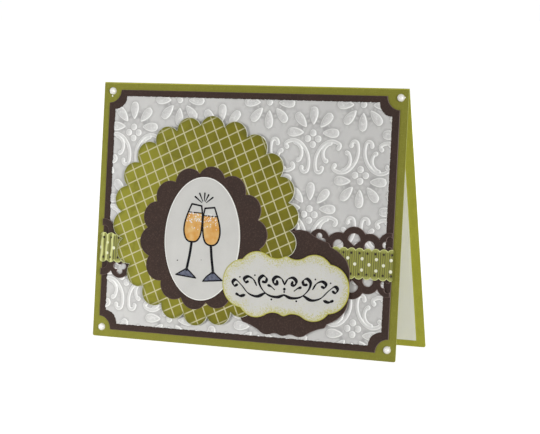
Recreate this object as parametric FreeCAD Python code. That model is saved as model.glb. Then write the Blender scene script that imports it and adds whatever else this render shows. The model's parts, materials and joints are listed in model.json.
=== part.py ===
# Tent-fold greeting card with a layered front.
# Flat layers are drawn in the front panel's plane: x from the middle of the card's width, y up the slope
# from the middle of the panel, z out from the face of the folded sheet. They are then leaned into place.
import FreeCAD, Part
import math
import os

V = FreeCAD.Vector

# Folded sheet
card_width = 139.7
card_height = 107.95
stock_thickness = 0.35
fold_radius = 0.45
foot_spread = 31.8
card_corner_radius = 0.8

# Liner on the back panel's inner face, laid a little off centre by hand
liner_margin = 3.175
liner_width = card_width - 2 * liner_margin
liner_height = card_height - 2 * liner_margin
liner_thickness = 0.25
liner_shift_x = -0.7
liner_shift_y = -0.45

# Mat and embossed panel, both with ticket corners
mat_margin = 3.175
mat_width = card_width - 2 * mat_margin
mat_height = card_height - 2 * mat_margin
mat_thickness = 0.3
panel_side_border = 3.175
panel_end_border = 2.7
panel_width = mat_width - 2 * panel_side_border
panel_height = mat_height - 2 * panel_end_border
panel_thickness = 0.3
ticket_radius = 5.5

# Tape strips that lift the mat by the thickness of the ribbon's tails
tape_width = 96.0
tape_height = 6.0
tape_inset = 12.0

# Embossed pattern: one motif, upright and inverted, on two staggered lattices
relief_height = 0.5
relief_facet_degrees = 36.0
motif_pitch_x = 41.8
motif_pitch_y = 30.5
upright_motif = (29.65, 32.9)
inverted_motif = (51.25, 19.0)
petal_length = 7.4
petal_width = 4.0
petal_widest = 0.2
petal_narrow_bend = (-0.6, 0.62)
petal_round_bend = (0.8, 0.66)
petals = [(0.0, 9.4, 90.0), (5.6, 7.5, 48.0), (7.9, 2.5, 0.0), (-5.6, 7.5, 132.0), (-7.9, 2.5, 180.0)]
bead_radius = 1.3
bead_ring = 2.35
scroll_drop = 7.0
scroll_width = 1.4
scroll_start = (4.5, -4.7)
scroll_heading = 283.0
scroll_turns = [(-1.4, 177.0), (-9.8, 68.0), (-5.5, 73.0), (-0.95, 128.0)]
branch_start = (8.0, 5.3)
branch_heading = 194.0
branch_turns = [(4.3, 112.0), (0.85, 90.0)]
label_cover = 0.9

# Punched strip across the front
strip_y = -15.9
strip_thickness = 0.3
strip_band = 8.0
strip_pitch = 30.7
strip_phase = 19.55
big_scallop_y = 9.1
big_scallop_radius = 5.4
side_scallop_x = 6.8
side_scallop_y = 6.8
side_scallop_radius = 5.2
small_scallop_y = 8.2
small_scallop_radius = 4.6
big_hole_radius = 2.7
big_hole_point = 2.2
side_hole_radius = 2.25
clover_radius = 1.35
clover_outer_y = 9.8
clover_side = (1.7, 7.8)

# Ribbon with looped edges, round the strip and the mat's two side edges
ribbon_y = -16.0
ribbon_thickness = 0.35
ribbon_body = 10.7
picot_pitch = 3.48
picot_depth = 0.9
picot_phase = 2.6
ribbon_side_clearance = 0.3
ribbon_bend_radius = 0.5
ribbon_tail = 15.0

# Dark label under the patterned circle, as one quarter of its outline
label_mat_x = 21.0
label_mat_y = -25.6
label_mat_thickness = 0.3
label_mat_start = (0.0, 21.6)
label_mat_quarter = [
    ((1.0, 21.45), (1.8, 21.15)),
    ((3.6, 20.75), (5.4, 21.15)),
    ((7.5, 21.5), (10.5, 20.3)),
    ((14.2, 18.4), (18.4, 17.1)),
    ((18.95, 16.4), (19.4, 15.5)),
    ((23.1, 13.6), (26.3, 10.9)),
    ((27.9, 7.8), (28.4, 4.0)),
    ((28.5, 2.0), (28.5, 0.0)),
]

# Patterned circle, dark circle and oval of the focal stack
circle_x = -17.5
circle_y = -2.6
circle_radius = 43.5
circle_valley_radius = 39.6
circle_lobes = 22
circle_phase = 95.35
circle_thickness = 0.3
dark_circle_x = -17.4
dark_circle_y = -9.7
dark_circle_radius = 29.8
dark_circle_valley_radius = 26.6
dark_circle_lobes = 14
dark_circle_phase = 96.2
dark_circle_thickness = 0.3
oval_x = -17.6
oval_y = -10.0
oval_half_width = 17.6
oval_half_height = 25.45
oval_thickness = 0.3

# Foam squares under the patterned circle and under the sentiment label
foam_size = 6.0
circle_foam_places = [(-14.9, 21.6), (19.0, 19.1), (5.3, 5.0), (-1.5, -32.4), (6.8, -32.4)]
label_foam_places = [(4.0, 0.0), (18.0, 6.0), (18.0, -6.0)]

# Sentiment label, as one quarter of its outline
label_x = 21.6
label_y = -27.0
label_thickness = 0.3
label_start = (0.0, 12.1)
label_quarter = [
    ((0.9, 11.9), (1.7, 11.5)),
    ((4.6, 11.0), (8.2, 12.0)),
    ((14.2, 13.3), (19.7, 9.9)),
    ((25.9, 6.9), (28.4, 0.0)),
]

# Half pearls in the mat's cut corners: inset from the mat's side and from its top or bottom edge
pearl_radius = 1.6
pearl_sink = 0.1
pearl_places = {
    "pearl_top_left": (-1, 1, 1.025, 0.575),
    "pearl_top_right": (1, 1, 0.025, 0.575),
    "pearl_bottom_left": (-1, -1, 1.175, 0.825),
    "pearl_bottom_right": (1, -1, 0.525, 1.425),
}

# Heights of the layers above the front face of the folded sheet
mat_low = ribbon_thickness
panel_low = mat_low + mat_thickness
panel_face = panel_low + panel_thickness
relief_top = panel_face + relief_height
strip_low = relief_top
ribbon_low = strip_low + strip_thickness
label_mat_low = ribbon_low + ribbon_thickness
circle_low = label_mat_low + label_mat_thickness
dark_circle_low = circle_low + circle_thickness
oval_low = dark_circle_low + dark_circle_thickness
label_low = oval_low + oval_thickness

# Lean of the panels: each foot stands half the spread from the middle
panel_flat = card_height - fold_radius
lean = math.asin(foot_spread / 2 / math.hypot(panel_flat, fold_radius)) - math.atan2(fold_radius, panel_flat)


def line(start, end):
    return Part.LineSegment(V(*start), V(*end)).toShape()


def arc(start, middle, end):
    return Part.Arc(V(*start), V(*middle), V(*end)).toShape()


def slab(outline, low, thickness, x=0.0, y=0.0):
    """Flat layer from an outline wire, its lower face at a height and its middle at a place."""
    face = Part.Face(outline)
    face.translate(V(x, y, low))
    return face.extrude(V(0, 0, thickness))


def polar(radius, degrees):
    return (radius * math.cos(math.radians(degrees)), radius * math.sin(math.radians(degrees)))


def rectangle(width, height, x=0.0, y=0.0):
    corners = [(x - width / 2, y - height / 2), (x + width / 2, y - height / 2),
               (x + width / 2, y + height / 2), (x - width / 2, y + height / 2)]
    return Part.Wire([line(a, b) for a, b in zip(corners, corners[1:] + corners[:1])])


def ticket(width, height, radius):
    """Rectangle whose corners are bitten by quarter circles."""
    edges = []
    reach = radius / math.sqrt(2)
    for side_x, side_y in ((1, 1), (-1, 1), (-1, -1), (1, -1)):
        x, y = side_x * width / 2, side_y * height / 2
        beside, below = (x - side_x * radius, y), (x, y - side_y * radius)
        edges.append(arc(below, (x - side_x * reach, y - side_y * reach), beside))
        if side_x == side_y:
            edges.append(line(beside, (-beside[0], y)))
        else:
            edges.append(line(below, (x, -below[1])))
    return Part.Wire(Part.__sortEdges__(edges))


def scalloped(radius, valley_radius, lobes, phase):
    """Circle of outward lobes that meet at valleys."""
    step = 360 / lobes
    edges = []
    for k in range(lobes):
        start = phase + k * step
        edges.append(arc(polar(valley_radius, start), polar(radius, start + step / 2),
                         polar(valley_radius, start + step)))
    return Part.Wire(edges)


def mirrored_quarters(start, quarter):
    """Closed outline from the arcs of its first quarter, each given as its middle and end."""
    edges = []
    for side_x, side_y in ((1, 1), (-1, 1), (-1, -1), (1, -1)):
        last = start
        for middle, end in quarter:
            edges.append(arc(*[(side_x * p[0], side_y * p[1]) for p in (last, middle, end)]))
            last = end
    return Part.Wire(Part.__sortEdges__(edges))


def left_of(heading):
    return V(*polar(1, heading + 90))


def stroke(start, heading, turns, width):
    """Square-ended band along tangent arcs, each given as a signed radius, left positive, and a sweep."""
    sides = (width / 2, -width / 2)
    middle = V(*start)
    angle = heading
    edges = [line(*[middle + left_of(angle) * side for side in sides])]
    for radius, sweep in turns:
        centre = middle + left_of(angle) * radius
        turned = angle + math.copysign(sweep, radius)
        headings = (angle, (angle + turned) / 2, turned)
        for side in sides:
            edges.append(arc(*[centre - left_of(at) * (radius - side) for at in headings]))
        middle = centre - left_of(turned) * radius
        angle = turned
    edges.append(line(*[middle + left_of(angle) * side for side in sides]))
    return Part.Wire(Part.__sortEdges__(edges))


def folded_sheet():
    """Two leaning panels of one sheet, joined over a tight round fold, with blunted outer corners."""
    across, up = math.cos(lean), math.sin(lean)
    centre_z = panel_flat * across - fold_radius * up
    inner_radius = fold_radius - stock_thickness

    def fold_point(radius, side):
        return (0.0, side * radius * across, centre_z + radius * up)

    def foot_point(radius, side):
        _, y, z = fold_point(radius, side)
        return (0.0, y + side * panel_flat * up, z - panel_flat * across)

    outer, inner = fold_radius, inner_radius
    profile = Part.Wire([
        line(foot_point(outer, -1), fold_point(outer, -1)),
        arc(fold_point(outer, -1), (0.0, 0.0, centre_z + outer), fold_point(outer, 1)),
        line(fold_point(outer, 1), foot_point(outer, 1)),
        line(foot_point(outer, 1), foot_point(inner, 1)),
        line(foot_point(inner, 1), fold_point(inner, 1)),
        arc(fold_point(inner, 1), (0.0, 0.0, centre_z + inner), fold_point(inner, -1)),
        line(fold_point(inner, -1), foot_point(inner, -1)),
        line(foot_point(inner, -1), foot_point(outer, -1)),
    ])
    profile.translate(V(-card_width / 2, 0, 0))
    sheet = Part.Face(profile).extrude(V(card_width, 0, 0))
    foot_edges = [edge for edge in sheet.Edges
                  if abs(edge.Length - stock_thickness) < 1e-6 and edge.CenterOfMass.z < card_height / 2]
    return sheet.makeFillet(card_corner_radius, foot_edges)


def faceted(outline):
    """Outline's area with its arcs cut into a few chords, for raised areas too small to need round walls."""
    points = []
    for edge in outline.OrderedEdges:
        turn = math.degrees(edge.LastParameter - edge.FirstParameter)
        chords = 1 if isinstance(edge.Curve, Part.Line) else math.ceil(turn / relief_facet_degrees)
        ends = edge.discretize(chords + 1)
        points += ends[:-1] if edge.Orientation == "Forward" else ends[:0:-1]
    return Part.Face(Part.makePolygon(points + points[:1]))


def petal_outline(x, y, tilt):
    """Egg-shaped outline whose narrow end points back along its tilt, from shares of its half sizes."""
    half_length, half_width = petal_length / 2, petal_width / 2
    shares = [(-1, 0), petal_narrow_bend, (petal_widest, 1), petal_round_bend, (1, 0)]
    points = [(along * half_length, out * half_width) for along, out in shares]
    half = [arc(*points[:3]), arc(*points[2:])]
    other_half = [edge.mirror(V(0, 0, 0), V(0, 1, 0)) for edge in half]
    wire = Part.Wire(Part.__sortEdges__(half + other_half))
    wire.rotate(V(0, 0, 0), V(0, 0, 1), tilt)
    wire.translate(V(x, y, 0))
    return wire


def circle(radius, x, y):
    return Part.Wire(Part.makeCircle(radius, V(x, y, 0)))


def disc(radius, x, y):
    return Part.Face(circle(radius, x, y))


def motif():
    """Raised areas of one motif: five petals, four beads and a mirrored pair of scrolls below them."""
    faces = [faceted(petal_outline(x, y, tilt)) for x, y, tilt in petals]
    faces += [faceted(circle(bead_radius, *polar(bead_ring, quarter * 90))) for quarter in range(4)]
    band = faceted(stroke(scroll_start, scroll_heading, scroll_turns, scroll_width))
    branch = faceted(stroke(branch_start, branch_heading, branch_turns, scroll_width))
    scroll = band.fuse(branch).removeSplitter()
    scroll.translate(V(0, -scroll_drop, 0))
    for half in (scroll, scroll.mirror(V(0, 0, 0), V(1, 0, 0))):
        faces += half.Faces
    return faces


def lattice(first, pitch, limit):
    """Places along one axis from a first place, a pitch either way, while a motif there can still show."""
    count = math.ceil(2 * limit / pitch) + 1
    places = [first + k * pitch for k in range(-count, count + 1)]
    return [place for place in places if abs(place) < limit]


def under_layers(box):
    """Whether a raised area lies wholly under the circle, the dark label or the strip's band."""
    corners = [(x, y) for x in (box.XMin, box.XMax) for y in (box.YMin, box.YMax)]
    half_width = label_cover * label_mat_quarter[-1][1][0]
    half_height = label_cover * label_mat_start[1]
    tests = (
        lambda x, y: math.hypot(x - circle_x, y - circle_y) < circle_valley_radius,
        lambda x, y: math.hypot((x - label_mat_x) / half_width, (y - label_mat_y) / half_height) < 1,
        lambda x, y: abs(y - strip_y) < strip_band,
    )
    return any(all(test(x, y) for x, y in corners) for test in tests)


def carries_foam(box):
    """Whether a raised area lies under one of the circle's foam squares."""
    reach = foam_size / 2
    return any(box.XMin < circle_x + x + reach and box.XMax > circle_x + x - reach
               and box.YMin < circle_y + y + reach and box.YMax > circle_y + y - reach
               for x, y in circle_foam_places)


def embossed_panel():
    """Ticketed panel with the raised pattern where it shows or carries foam, cut off at the panel's edges."""
    outline = ticket(panel_width, panel_height, ticket_radius)
    plate = slab(outline, panel_low, panel_thickness)
    motif_reach = scroll_drop + petal_length
    upright = motif()
    inverted = [face.mirror(V(0, 0, 0), V(0, 1, 0)) for face in upright]
    raised = []
    for faces, (first_x, first_y) in ((upright, upright_motif), (inverted, inverted_motif)):
        for x in lattice(first_x, motif_pitch_x, panel_width / 2 + motif_reach):
            for y in lattice(first_y, motif_pitch_y, panel_height / 2 + motif_reach):
                raised += [face.translated(V(x, y, panel_face)) for face in faces]
    raised = [face for face in raised if carries_foam(face.BoundBox) or not under_layers(face.BoundBox)]
    pads = [face.extrude(V(0, 0, relief_height)) for face in raised]
    trim = slab(outline, panel_face, relief_height)
    pads = trim.common(Part.makeCompound(pads)).Solids
    return plate.multiFuse(pads)


def shield_hole(x, side):
    """Round-topped hole that comes to a point towards the strip's middle."""
    base, top, point = [side * (big_scallop_y + rise) for rise in (0, big_hole_radius, -big_hole_point)]
    left, right = (x - big_hole_radius, base), (x + big_hole_radius, base)
    return Part.Face(Part.Wire([arc(left, (x, top), right), line(right, (x, point)), line((x, point), left)]))


def clover_hole(x, side):
    """Discs that join into a three-leaved hole: an outer leaf, a middle and two side leaves."""
    leaf, leaf_y = clover_side
    places = [(0, clover_outer_y), (0, clover_outer_y - clover_radius), (leaf, leaf_y), (-leaf, leaf_y)]
    return [disc(clover_radius, x + dx, side * y) for dx, y in places]


def punched_strip():
    """Strip with scalloped edges and punched holes, cut flush with the mat's side edges."""
    count = math.ceil(mat_width / 2 / strip_pitch) + 1
    lobes, holes = [], []
    for k in range(-count, count + 1):
        big_x = strip_phase + k * strip_pitch
        small_x = big_x + strip_pitch / 2
        if abs(big_x) > mat_width / 2 + strip_pitch:
            continue
        for side in (1, -1):
            lobes.append(disc(big_scallop_radius, big_x, side * big_scallop_y))
            lobes.append(disc(small_scallop_radius, small_x, side * small_scallop_y))
            holes.append(shield_hole(big_x, side))
            holes += clover_hole(small_x, side)
            for x in (big_x - side_scallop_x, big_x + side_scallop_x):
                lobes.append(disc(side_scallop_radius, x, side * side_scallop_y))
                holes.append(disc(side_hole_radius, x, side * side_scallop_y))
    thickness = V(0, 0, strip_thickness)
    lobes, holes = [[face.extrude(thickness) for face in faces] for faces in (lobes, holes)]
    strip = slab(rectangle(mat_width, 2 * strip_band), 0, strip_thickness).multiFuse(lobes)
    strip = strip.common(slab(rectangle(mat_width, 4 * strip_band), 0, strip_thickness))
    strip = strip.cut(holes[0].multiFuse(holes[1:])).removeSplitter()
    strip.translate(V(0, strip_y, strip_low))
    return strip


def rounded_box(half_width, low, high, radius, half_depth):
    box = Part.makeBox(2 * half_width, 2 * half_depth, high - low, V(-half_width, -half_depth, low))
    along = [edge for edge in box.Edges if abs(edge.Vertexes[0].Y - edge.Vertexes[-1].Y) > half_depth]
    return box.makeFillet(radius, along)


def ribbon():
    """Flat ribbon round the front, whose ends turn in behind the mat, with looped long edges."""
    half_width = mat_width / 2 + ribbon_side_clearance + ribbon_thickness
    half_depth = ribbon_body / 2 + picot_depth
    top = ribbon_low + ribbon_thickness
    outer = rounded_box(half_width, 0, top, ribbon_bend_radius, half_depth)
    inner = rounded_box(half_width - ribbon_thickness, ribbon_thickness, ribbon_low,
                        ribbon_bend_radius - ribbon_thickness, 2 * half_depth)
    gap_width = 2 * (half_width - ribbon_tail)
    gap = slab(rectangle(gap_width, 4 * half_depth), 0, ribbon_thickness)
    loop = outer.cut(inner).cut(gap)
    count = math.ceil(half_width / picot_pitch) + 1
    valleys = [picot_phase + k * picot_pitch for k in range(-count, count + 1)]
    edges = [line((x, -ribbon_body / 2), (x, ribbon_body / 2)) for x in (valleys[0], valleys[-1])]
    for side in (1, -1):
        low, high = side * ribbon_body / 2, side * half_depth
        edges += [arc((x, low), (x + picot_pitch / 2, high), (x + picot_pitch, low)) for x in valleys[:-1]]
    cloth = loop.common(slab(Part.Wire(Part.__sortEdges__(edges)), 0, top))
    cloth.translate(V(0, ribbon_y, 0))
    return cloth


def half_pearl(side_x, side_y, inset_x, inset_y):
    """Flat-backed bead glued to the sheet's face in one corner."""
    keep = slab(rectangle(4 * pearl_radius, 4 * pearl_radius), 0, 2 * pearl_radius)
    bead = Part.makeSphere(pearl_radius, V(0, 0, -pearl_sink)).common(keep)
    bead.translate(V(side_x * (mat_width / 2 - inset_x), side_y * (mat_height / 2 - inset_y), 0))
    return bead


def foam_square(x, y, low, high):
    return slab(rectangle(foam_size, foam_size), low, high - low, x, y)


def front_layers():
    """Everything on the front panel, in its own plane."""
    circle = scalloped(circle_radius, circle_valley_radius, circle_lobes, circle_phase)
    dark_circle = scalloped(dark_circle_radius, dark_circle_valley_radius, dark_circle_lobes,
                            dark_circle_phase)
    oval = Part.Wire(Part.Ellipse(V(0, oval_half_height), V(oval_half_width, 0), V(0, 0)).toShape())
    label_mat = mirrored_quarters(label_mat_start, label_mat_quarter)
    label = mirrored_quarters(label_start, label_quarter)
    layers = {
        "brown_mat": slab(ticket(mat_width, mat_height, ticket_radius), mat_low, mat_thickness),
        "embossed_panel": embossed_panel(),
        "punched_strip": punched_strip(),
        "dotted_ribbon": ribbon(),
        "label_mat": slab(label_mat, label_mat_low, label_mat_thickness, label_mat_x, label_mat_y),
        "patterned_circle": slab(circle, circle_low, circle_thickness, circle_x, circle_y),
        "dark_scalloped_circle": slab(dark_circle, dark_circle_low, dark_circle_thickness,
                                      dark_circle_x, dark_circle_y),
        "oval_panel": slab(oval, oval_low, oval_thickness, oval_x, oval_y),
        "sentiment_label": slab(label, label_low, label_thickness, label_x, label_y),
    }
    for name, side in (("upper", 1), ("lower", -1)):
        tape = rectangle(tape_width, tape_height)
        layers["mat_tape_" + name] = slab(tape, 0, mat_low, 0, side * (mat_height / 2 - tape_inset))
    for number, (x, y) in enumerate(circle_foam_places, 1):
        layers[f"circle_foam_{number}"] = foam_square(circle_x + x, circle_y + y, relief_top, circle_low)
    for number, (x, y) in enumerate(label_foam_places, 1):
        seat = label_mat_low + label_mat_thickness
        layers[f"label_foam_{number}"] = foam_square(label_x + x, label_y + y, seat, label_low)
    for name, place in pearl_places.items():
        layers[name] = half_pearl(*place)
    return layers


def leaned(shape, side, depth):
    """Shape carried from the drawing plane to a panel: side -1 is the front panel and 1 the back one."""
    foot = V(0, side * foot_spread / 2, 0)
    up = V(0, -side * math.sin(lean), math.cos(lean))
    inward = V(0, -side * math.cos(lean), -math.sin(lean))
    origin = foot + up * (card_height / 2) + inward * depth
    turn = FreeCAD.Rotation(V(1, 0, 0), 90 + side * math.degrees(lean))
    return shape.transformed(FreeCAD.Placement(origin, turn).toMatrix())


def card():
    nodes = {"card_base": folded_sheet()}
    liner = slab(rectangle(liner_width, liner_height), 0, liner_thickness, liner_shift_x, liner_shift_y)
    nodes["inside_liner"] = leaned(liner, 1, stock_thickness)
    for name, layer in front_layers().items():
        nodes[name] = leaned(layer, -1, 0)
    return nodes


def main():
    os.makedirs("parts", exist_ok=True)
    nodes = card()
    box = Part.makeCompound(list(nodes.values())).optimalBoundingBox()
    to_origin = V(-(box.XMin + box.XMax) / 2, -(box.YMin + box.YMax) / 2, -box.ZMin)
    for name, shape in nodes.items():
        solids = [solid.translated(to_origin) for solid in shape.Solids]
        whole = solids[0] if len(solids) == 1 else Part.makeCompound(solids)
        whole.exportStep(f"parts/{name}.step")
        print(name, len(solids), round(whole.Volume, 2), whole.isValid())


main()
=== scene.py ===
"""Looks of a tent-fold greeting card whose front carries stacked die-cut layers and a ribbon.

Everything on the front panel is drawn in that panel's own plane, in millimetres: x from the middle of
its width, y up its slope from its middle, z out of its face. One matrix carries the plane into place.
"""
import json
import logging
import math
from collections.abc import Callable, Sequence
from dataclasses import dataclass, field
from enum import Enum

import bpy
import numpy as np
from mathutils import Matrix, Vector, geometry


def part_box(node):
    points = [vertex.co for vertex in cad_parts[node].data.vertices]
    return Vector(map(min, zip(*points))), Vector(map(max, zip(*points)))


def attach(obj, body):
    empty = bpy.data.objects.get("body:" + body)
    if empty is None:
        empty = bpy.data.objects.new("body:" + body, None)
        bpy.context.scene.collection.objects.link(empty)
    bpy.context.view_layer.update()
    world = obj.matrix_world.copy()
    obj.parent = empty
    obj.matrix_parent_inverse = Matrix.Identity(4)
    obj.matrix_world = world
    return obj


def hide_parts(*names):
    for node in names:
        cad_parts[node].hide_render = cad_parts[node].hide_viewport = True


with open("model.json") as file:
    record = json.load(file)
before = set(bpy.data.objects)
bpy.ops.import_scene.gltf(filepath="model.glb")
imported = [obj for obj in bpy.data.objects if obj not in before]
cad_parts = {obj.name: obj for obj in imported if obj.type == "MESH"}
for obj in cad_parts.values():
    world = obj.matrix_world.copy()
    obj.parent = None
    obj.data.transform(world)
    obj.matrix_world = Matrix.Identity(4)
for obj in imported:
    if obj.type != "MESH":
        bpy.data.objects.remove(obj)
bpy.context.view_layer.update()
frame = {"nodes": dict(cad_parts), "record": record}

log = logging.getLogger("greeting_card")

Pair = tuple[float, float]
Triple = tuple[float, float, float]
Loop = np.ndarray
Tree = bpy.types.NodeTree
Socket = bpy.types.NodeSocket

MM = 0.001
ROOT = "root"
CHUNK = 400
OUTLINE_STEP = 0.35
EDGE_ROUNDING = 0.06
CAP_STEP = 25.0
SHORTEST_SIDE = 0.05
NO_POINTS = np.zeros((0, 2))
NODE_SETTINGS = {"Mix": {"data_type": "RGBA"}}
NODE_INPUTS = {"Mix": (0, 6, 7)}
NODE_OUTPUTS = {"Mix": 2, "Attribute": "Fac", "TexCoord": "Object"}


class Slot(Enum):
    """Material slots of the record."""

    BROWN = "brown_stock"
    EMBOSSED = "embossed_stock"
    PATTERNED = "patterned_stock"
    WHITE = "white_stock"
    RIBBON = "ribbon"
    PEARL = "pearl"


# Colour and node tools


def linear(hex_colour: str) -> tuple[float, ...]:
    """Turns an sRGB colour into linear light.

    Args:
        hex_colour: six hex digits, red first.

    Returns:
        Linear red, green and blue, with an alpha of 1.
    """
    channels = [int(hex_colour[place:place + 2], 16) / 255 for place in (0, 2, 4)]
    return (*[c / 12.92 if c <= 0.04045 else ((c + 0.055) / 1.055) ** 2.4 for c in channels], 1.0)


def add_node(tree: Tree, kind: str, inputs: Sequence | dict, **settings: str) -> Socket:
    """Adds one node to a tree.

    Args:
        tree: the node tree.
        kind: the node's type, after ShaderNode.
        inputs: numbers, hex colours or sockets to link, in the sockets' order or by name or number.
        settings: properties of the node.

    Returns:
        The node's main output, from which the node itself can be reached.
    """
    node = tree.nodes.new("ShaderNode" + kind)
    for name, value in {**NODE_SETTINGS.get(kind, {}), **settings}.items():
        setattr(node, name, value)
    if not isinstance(inputs, dict):
        inputs = dict(zip(NODE_INPUTS.get(kind, range(len(node.inputs))), inputs))
    for place, value in inputs.items():
        if isinstance(value, Socket):
            tree.links.new(value, node.inputs[place])
        else:
            node.inputs[place].default_value = linear(value) if isinstance(value, str) else value
    return node.outputs[NODE_OUTPUTS.get(kind, 0)] if node.outputs else None


def start_material(name: str, constants: dict) -> tuple[bpy.types.Material, bpy.types.Node]:
    """Starts a material with one principled shader.

    Args:
        name: the material's name.
        constants: values for the shader's own sockets.

    Returns:
        The material and its shader node.
    """
    material = bpy.data.materials.new(name)
    material.use_nodes = True
    shader = material.node_tree.nodes["Principled BSDF"]
    for socket, value in constants.items():
        shader.inputs[socket].default_value = value
    return material, shader


def edge_share(tree: Tree, width: float, full: float, most: float = 1.0) -> Socket:
    """A share that grows towards the sheet's cut edge.

    Args:
        tree: the node tree.
        width: distance from the edge at which the share is 0.
        full: distance at which it is at its most.
        most: that most.

    Returns:
        The share.
    """
    edge = add_node(tree, "Attribute", (), attribute_name="edge")
    return add_node(tree, "MapRange", (edge, width, full, 0.0, most))


# Finishes


@dataclass(frozen=True)
class Finish:
    """A real material: how its surface was made, and what that gives the eye."""

    name: str

    def constants(self) -> dict[str, float]:
        """Values of the shader's own sockets."""
        raise NotImplementedError

    def paint(self, tree: Tree, place: Socket) -> tuple[Socket, dict]:
        """Adds the pattern.

        Args:
            tree: the node tree.
            place: coordinates in millimetres, on the front's pieces those of the drawing plane.

        Returns:
            The colour, and the inputs of the bump node.
        """
        raise NotImplementedError

    def material(self) -> bpy.types.Material:
        """Builds the material.

        Returns:
            The material.
        """
        material, shader = start_material(self.name, self.constants())
        tree = material.node_tree
        place = add_node(tree, "VectorMath", {0: add_node(tree, "TexCoord", ()), "Scale": 1 / MM},
                         operation="SCALE")
        colour, bump = self.paint(tree, place)
        tree.links.new(colour, shader.inputs["Base Color"])
        tree.links.new(add_node(tree, "Bump", bump), shader.inputs["Normal"])
        return material


@dataclass(frozen=True)
class CardStock(Finish):
    """Uncoated card: pulp dyed in the vat, pressed and left matt.

    The eye sees soft clouds where the pulp is denser, fine flecks of fibre, and a dry surface that
    spreads its highlights wide. Fibres are 0.02 mm across, too fine to show, so they are drawn 0.4 mm.
    """

    colour: str
    cloud_colour: str
    fleck_colour: str
    roughness: float = 0.82
    cloud_size: float = 9.0
    fleck_size: float = 0.4
    fleck_share: float = 0.35
    tooth: float = 0.035

    def constants(self) -> dict[str, float]:
        """Dry fibres, with no sheen."""
        return {"Roughness": self.roughness, "IOR": 1.45, "Specular IOR Level": 0.35}

    def paint(self, tree: Tree, place: Socket) -> tuple[Socket, dict]:
        """Mixes pulp and fibres, then adds what is printed or rubbed on the sheet.

        Args:
            tree: the node tree.
            place: coordinates in millimetres.

        Returns:
            The colour, and the inputs of the bump node.
        """
        cloud = add_node(tree, "TexNoise", {"Vector": place, "Scale": 1 / self.cloud_size, "Detail": 3.0})
        spread = add_node(tree, "MapRange", (cloud, 0.35, 0.7))
        pulp = add_node(tree, "Mix", (spread, self.colour, self.cloud_colour))
        fibre = add_node(tree, "TexNoise", {"Vector": place, "Scale": 1 / self.fleck_size, "Detail": 2.0})
        flecks = add_node(tree, "MapRange", (fibre, 0.5, 0.75, 0.0, self.fleck_share))
        flecked = add_node(tree, "Mix", (flecks, pulp, self.fleck_colour))
        return (self.surface(tree, place, flecked),
                {"Height": fibre, "Strength": 0.6, "Distance": self.tooth * MM})

    def surface(self, tree: Tree, place: Socket, colour: Socket) -> Socket:
        """What lies on the pulp: nothing on plain card."""
        return colour


@dataclass(frozen=True)
class EmbossedStock(CardStock):
    """White card pressed in an embossing folder: burnished slopes and narrow crowns carry painted highlight,
    painted shade lies at each foot.

    The folder's plates also scuff the raised tops, in fine pale streaks 1 mm long.
    """

    # Painted highlight on the burnished slopes, painted shade at their foot.
    burnish_highlight_colour: str = "fcfcf9"
    streak_size: float = 1.0
    foot_shade_colour: str = "8f8d8c"

    def surface(self, tree: Tree, place: Socket, colour: Socket) -> Socket:
        """Paints burnish and highlight on the slopes, scuffs the tops and paints shade in the crease at their
        foot.

        Args:
            tree: the node tree.
            place: coordinates in millimetres.
            colour: the pulp's colour.

        Returns:
            The colour with burnish and painted highlight on its slopes and painted shade in its creases.
        """
        # The relief attribute holds burnish and painted highlight above 0, painted shade below 0.
        relief = add_node(tree, "Attribute", (), attribute_name="relief")
        burnish_highlight = add_node(tree, "MapRange", (relief,))
        foot = add_node(tree, "MapRange", (relief, 0.0, -1.0))
        # Painted shade at the foot of each raised shape.
        foot_shaded = add_node(tree, "Mix", (foot, colour, self.foot_shade_colour))
        scuff = add_node(tree, "TexNoise", {"Vector": place, "Scale": 1 / self.streak_size, "Detail": 3.0,
                                            "Distortion": 1.2})
        streaks = add_node(tree, "MapRange", (scuff, 0.5, 0.64, 0.0, 0.4))
        top = add_node(tree, "Attribute", (), attribute_name="press")
        scuffed = add_node(tree, "Math", (streaks, top), operation="MULTIPLY")
        bright = add_node(tree, "Math", (burnish_highlight, scuffed), operation="MAXIMUM")
        return add_node(tree, "Mix", (bright, foot_shaded, self.burnish_highlight_colour))


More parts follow.
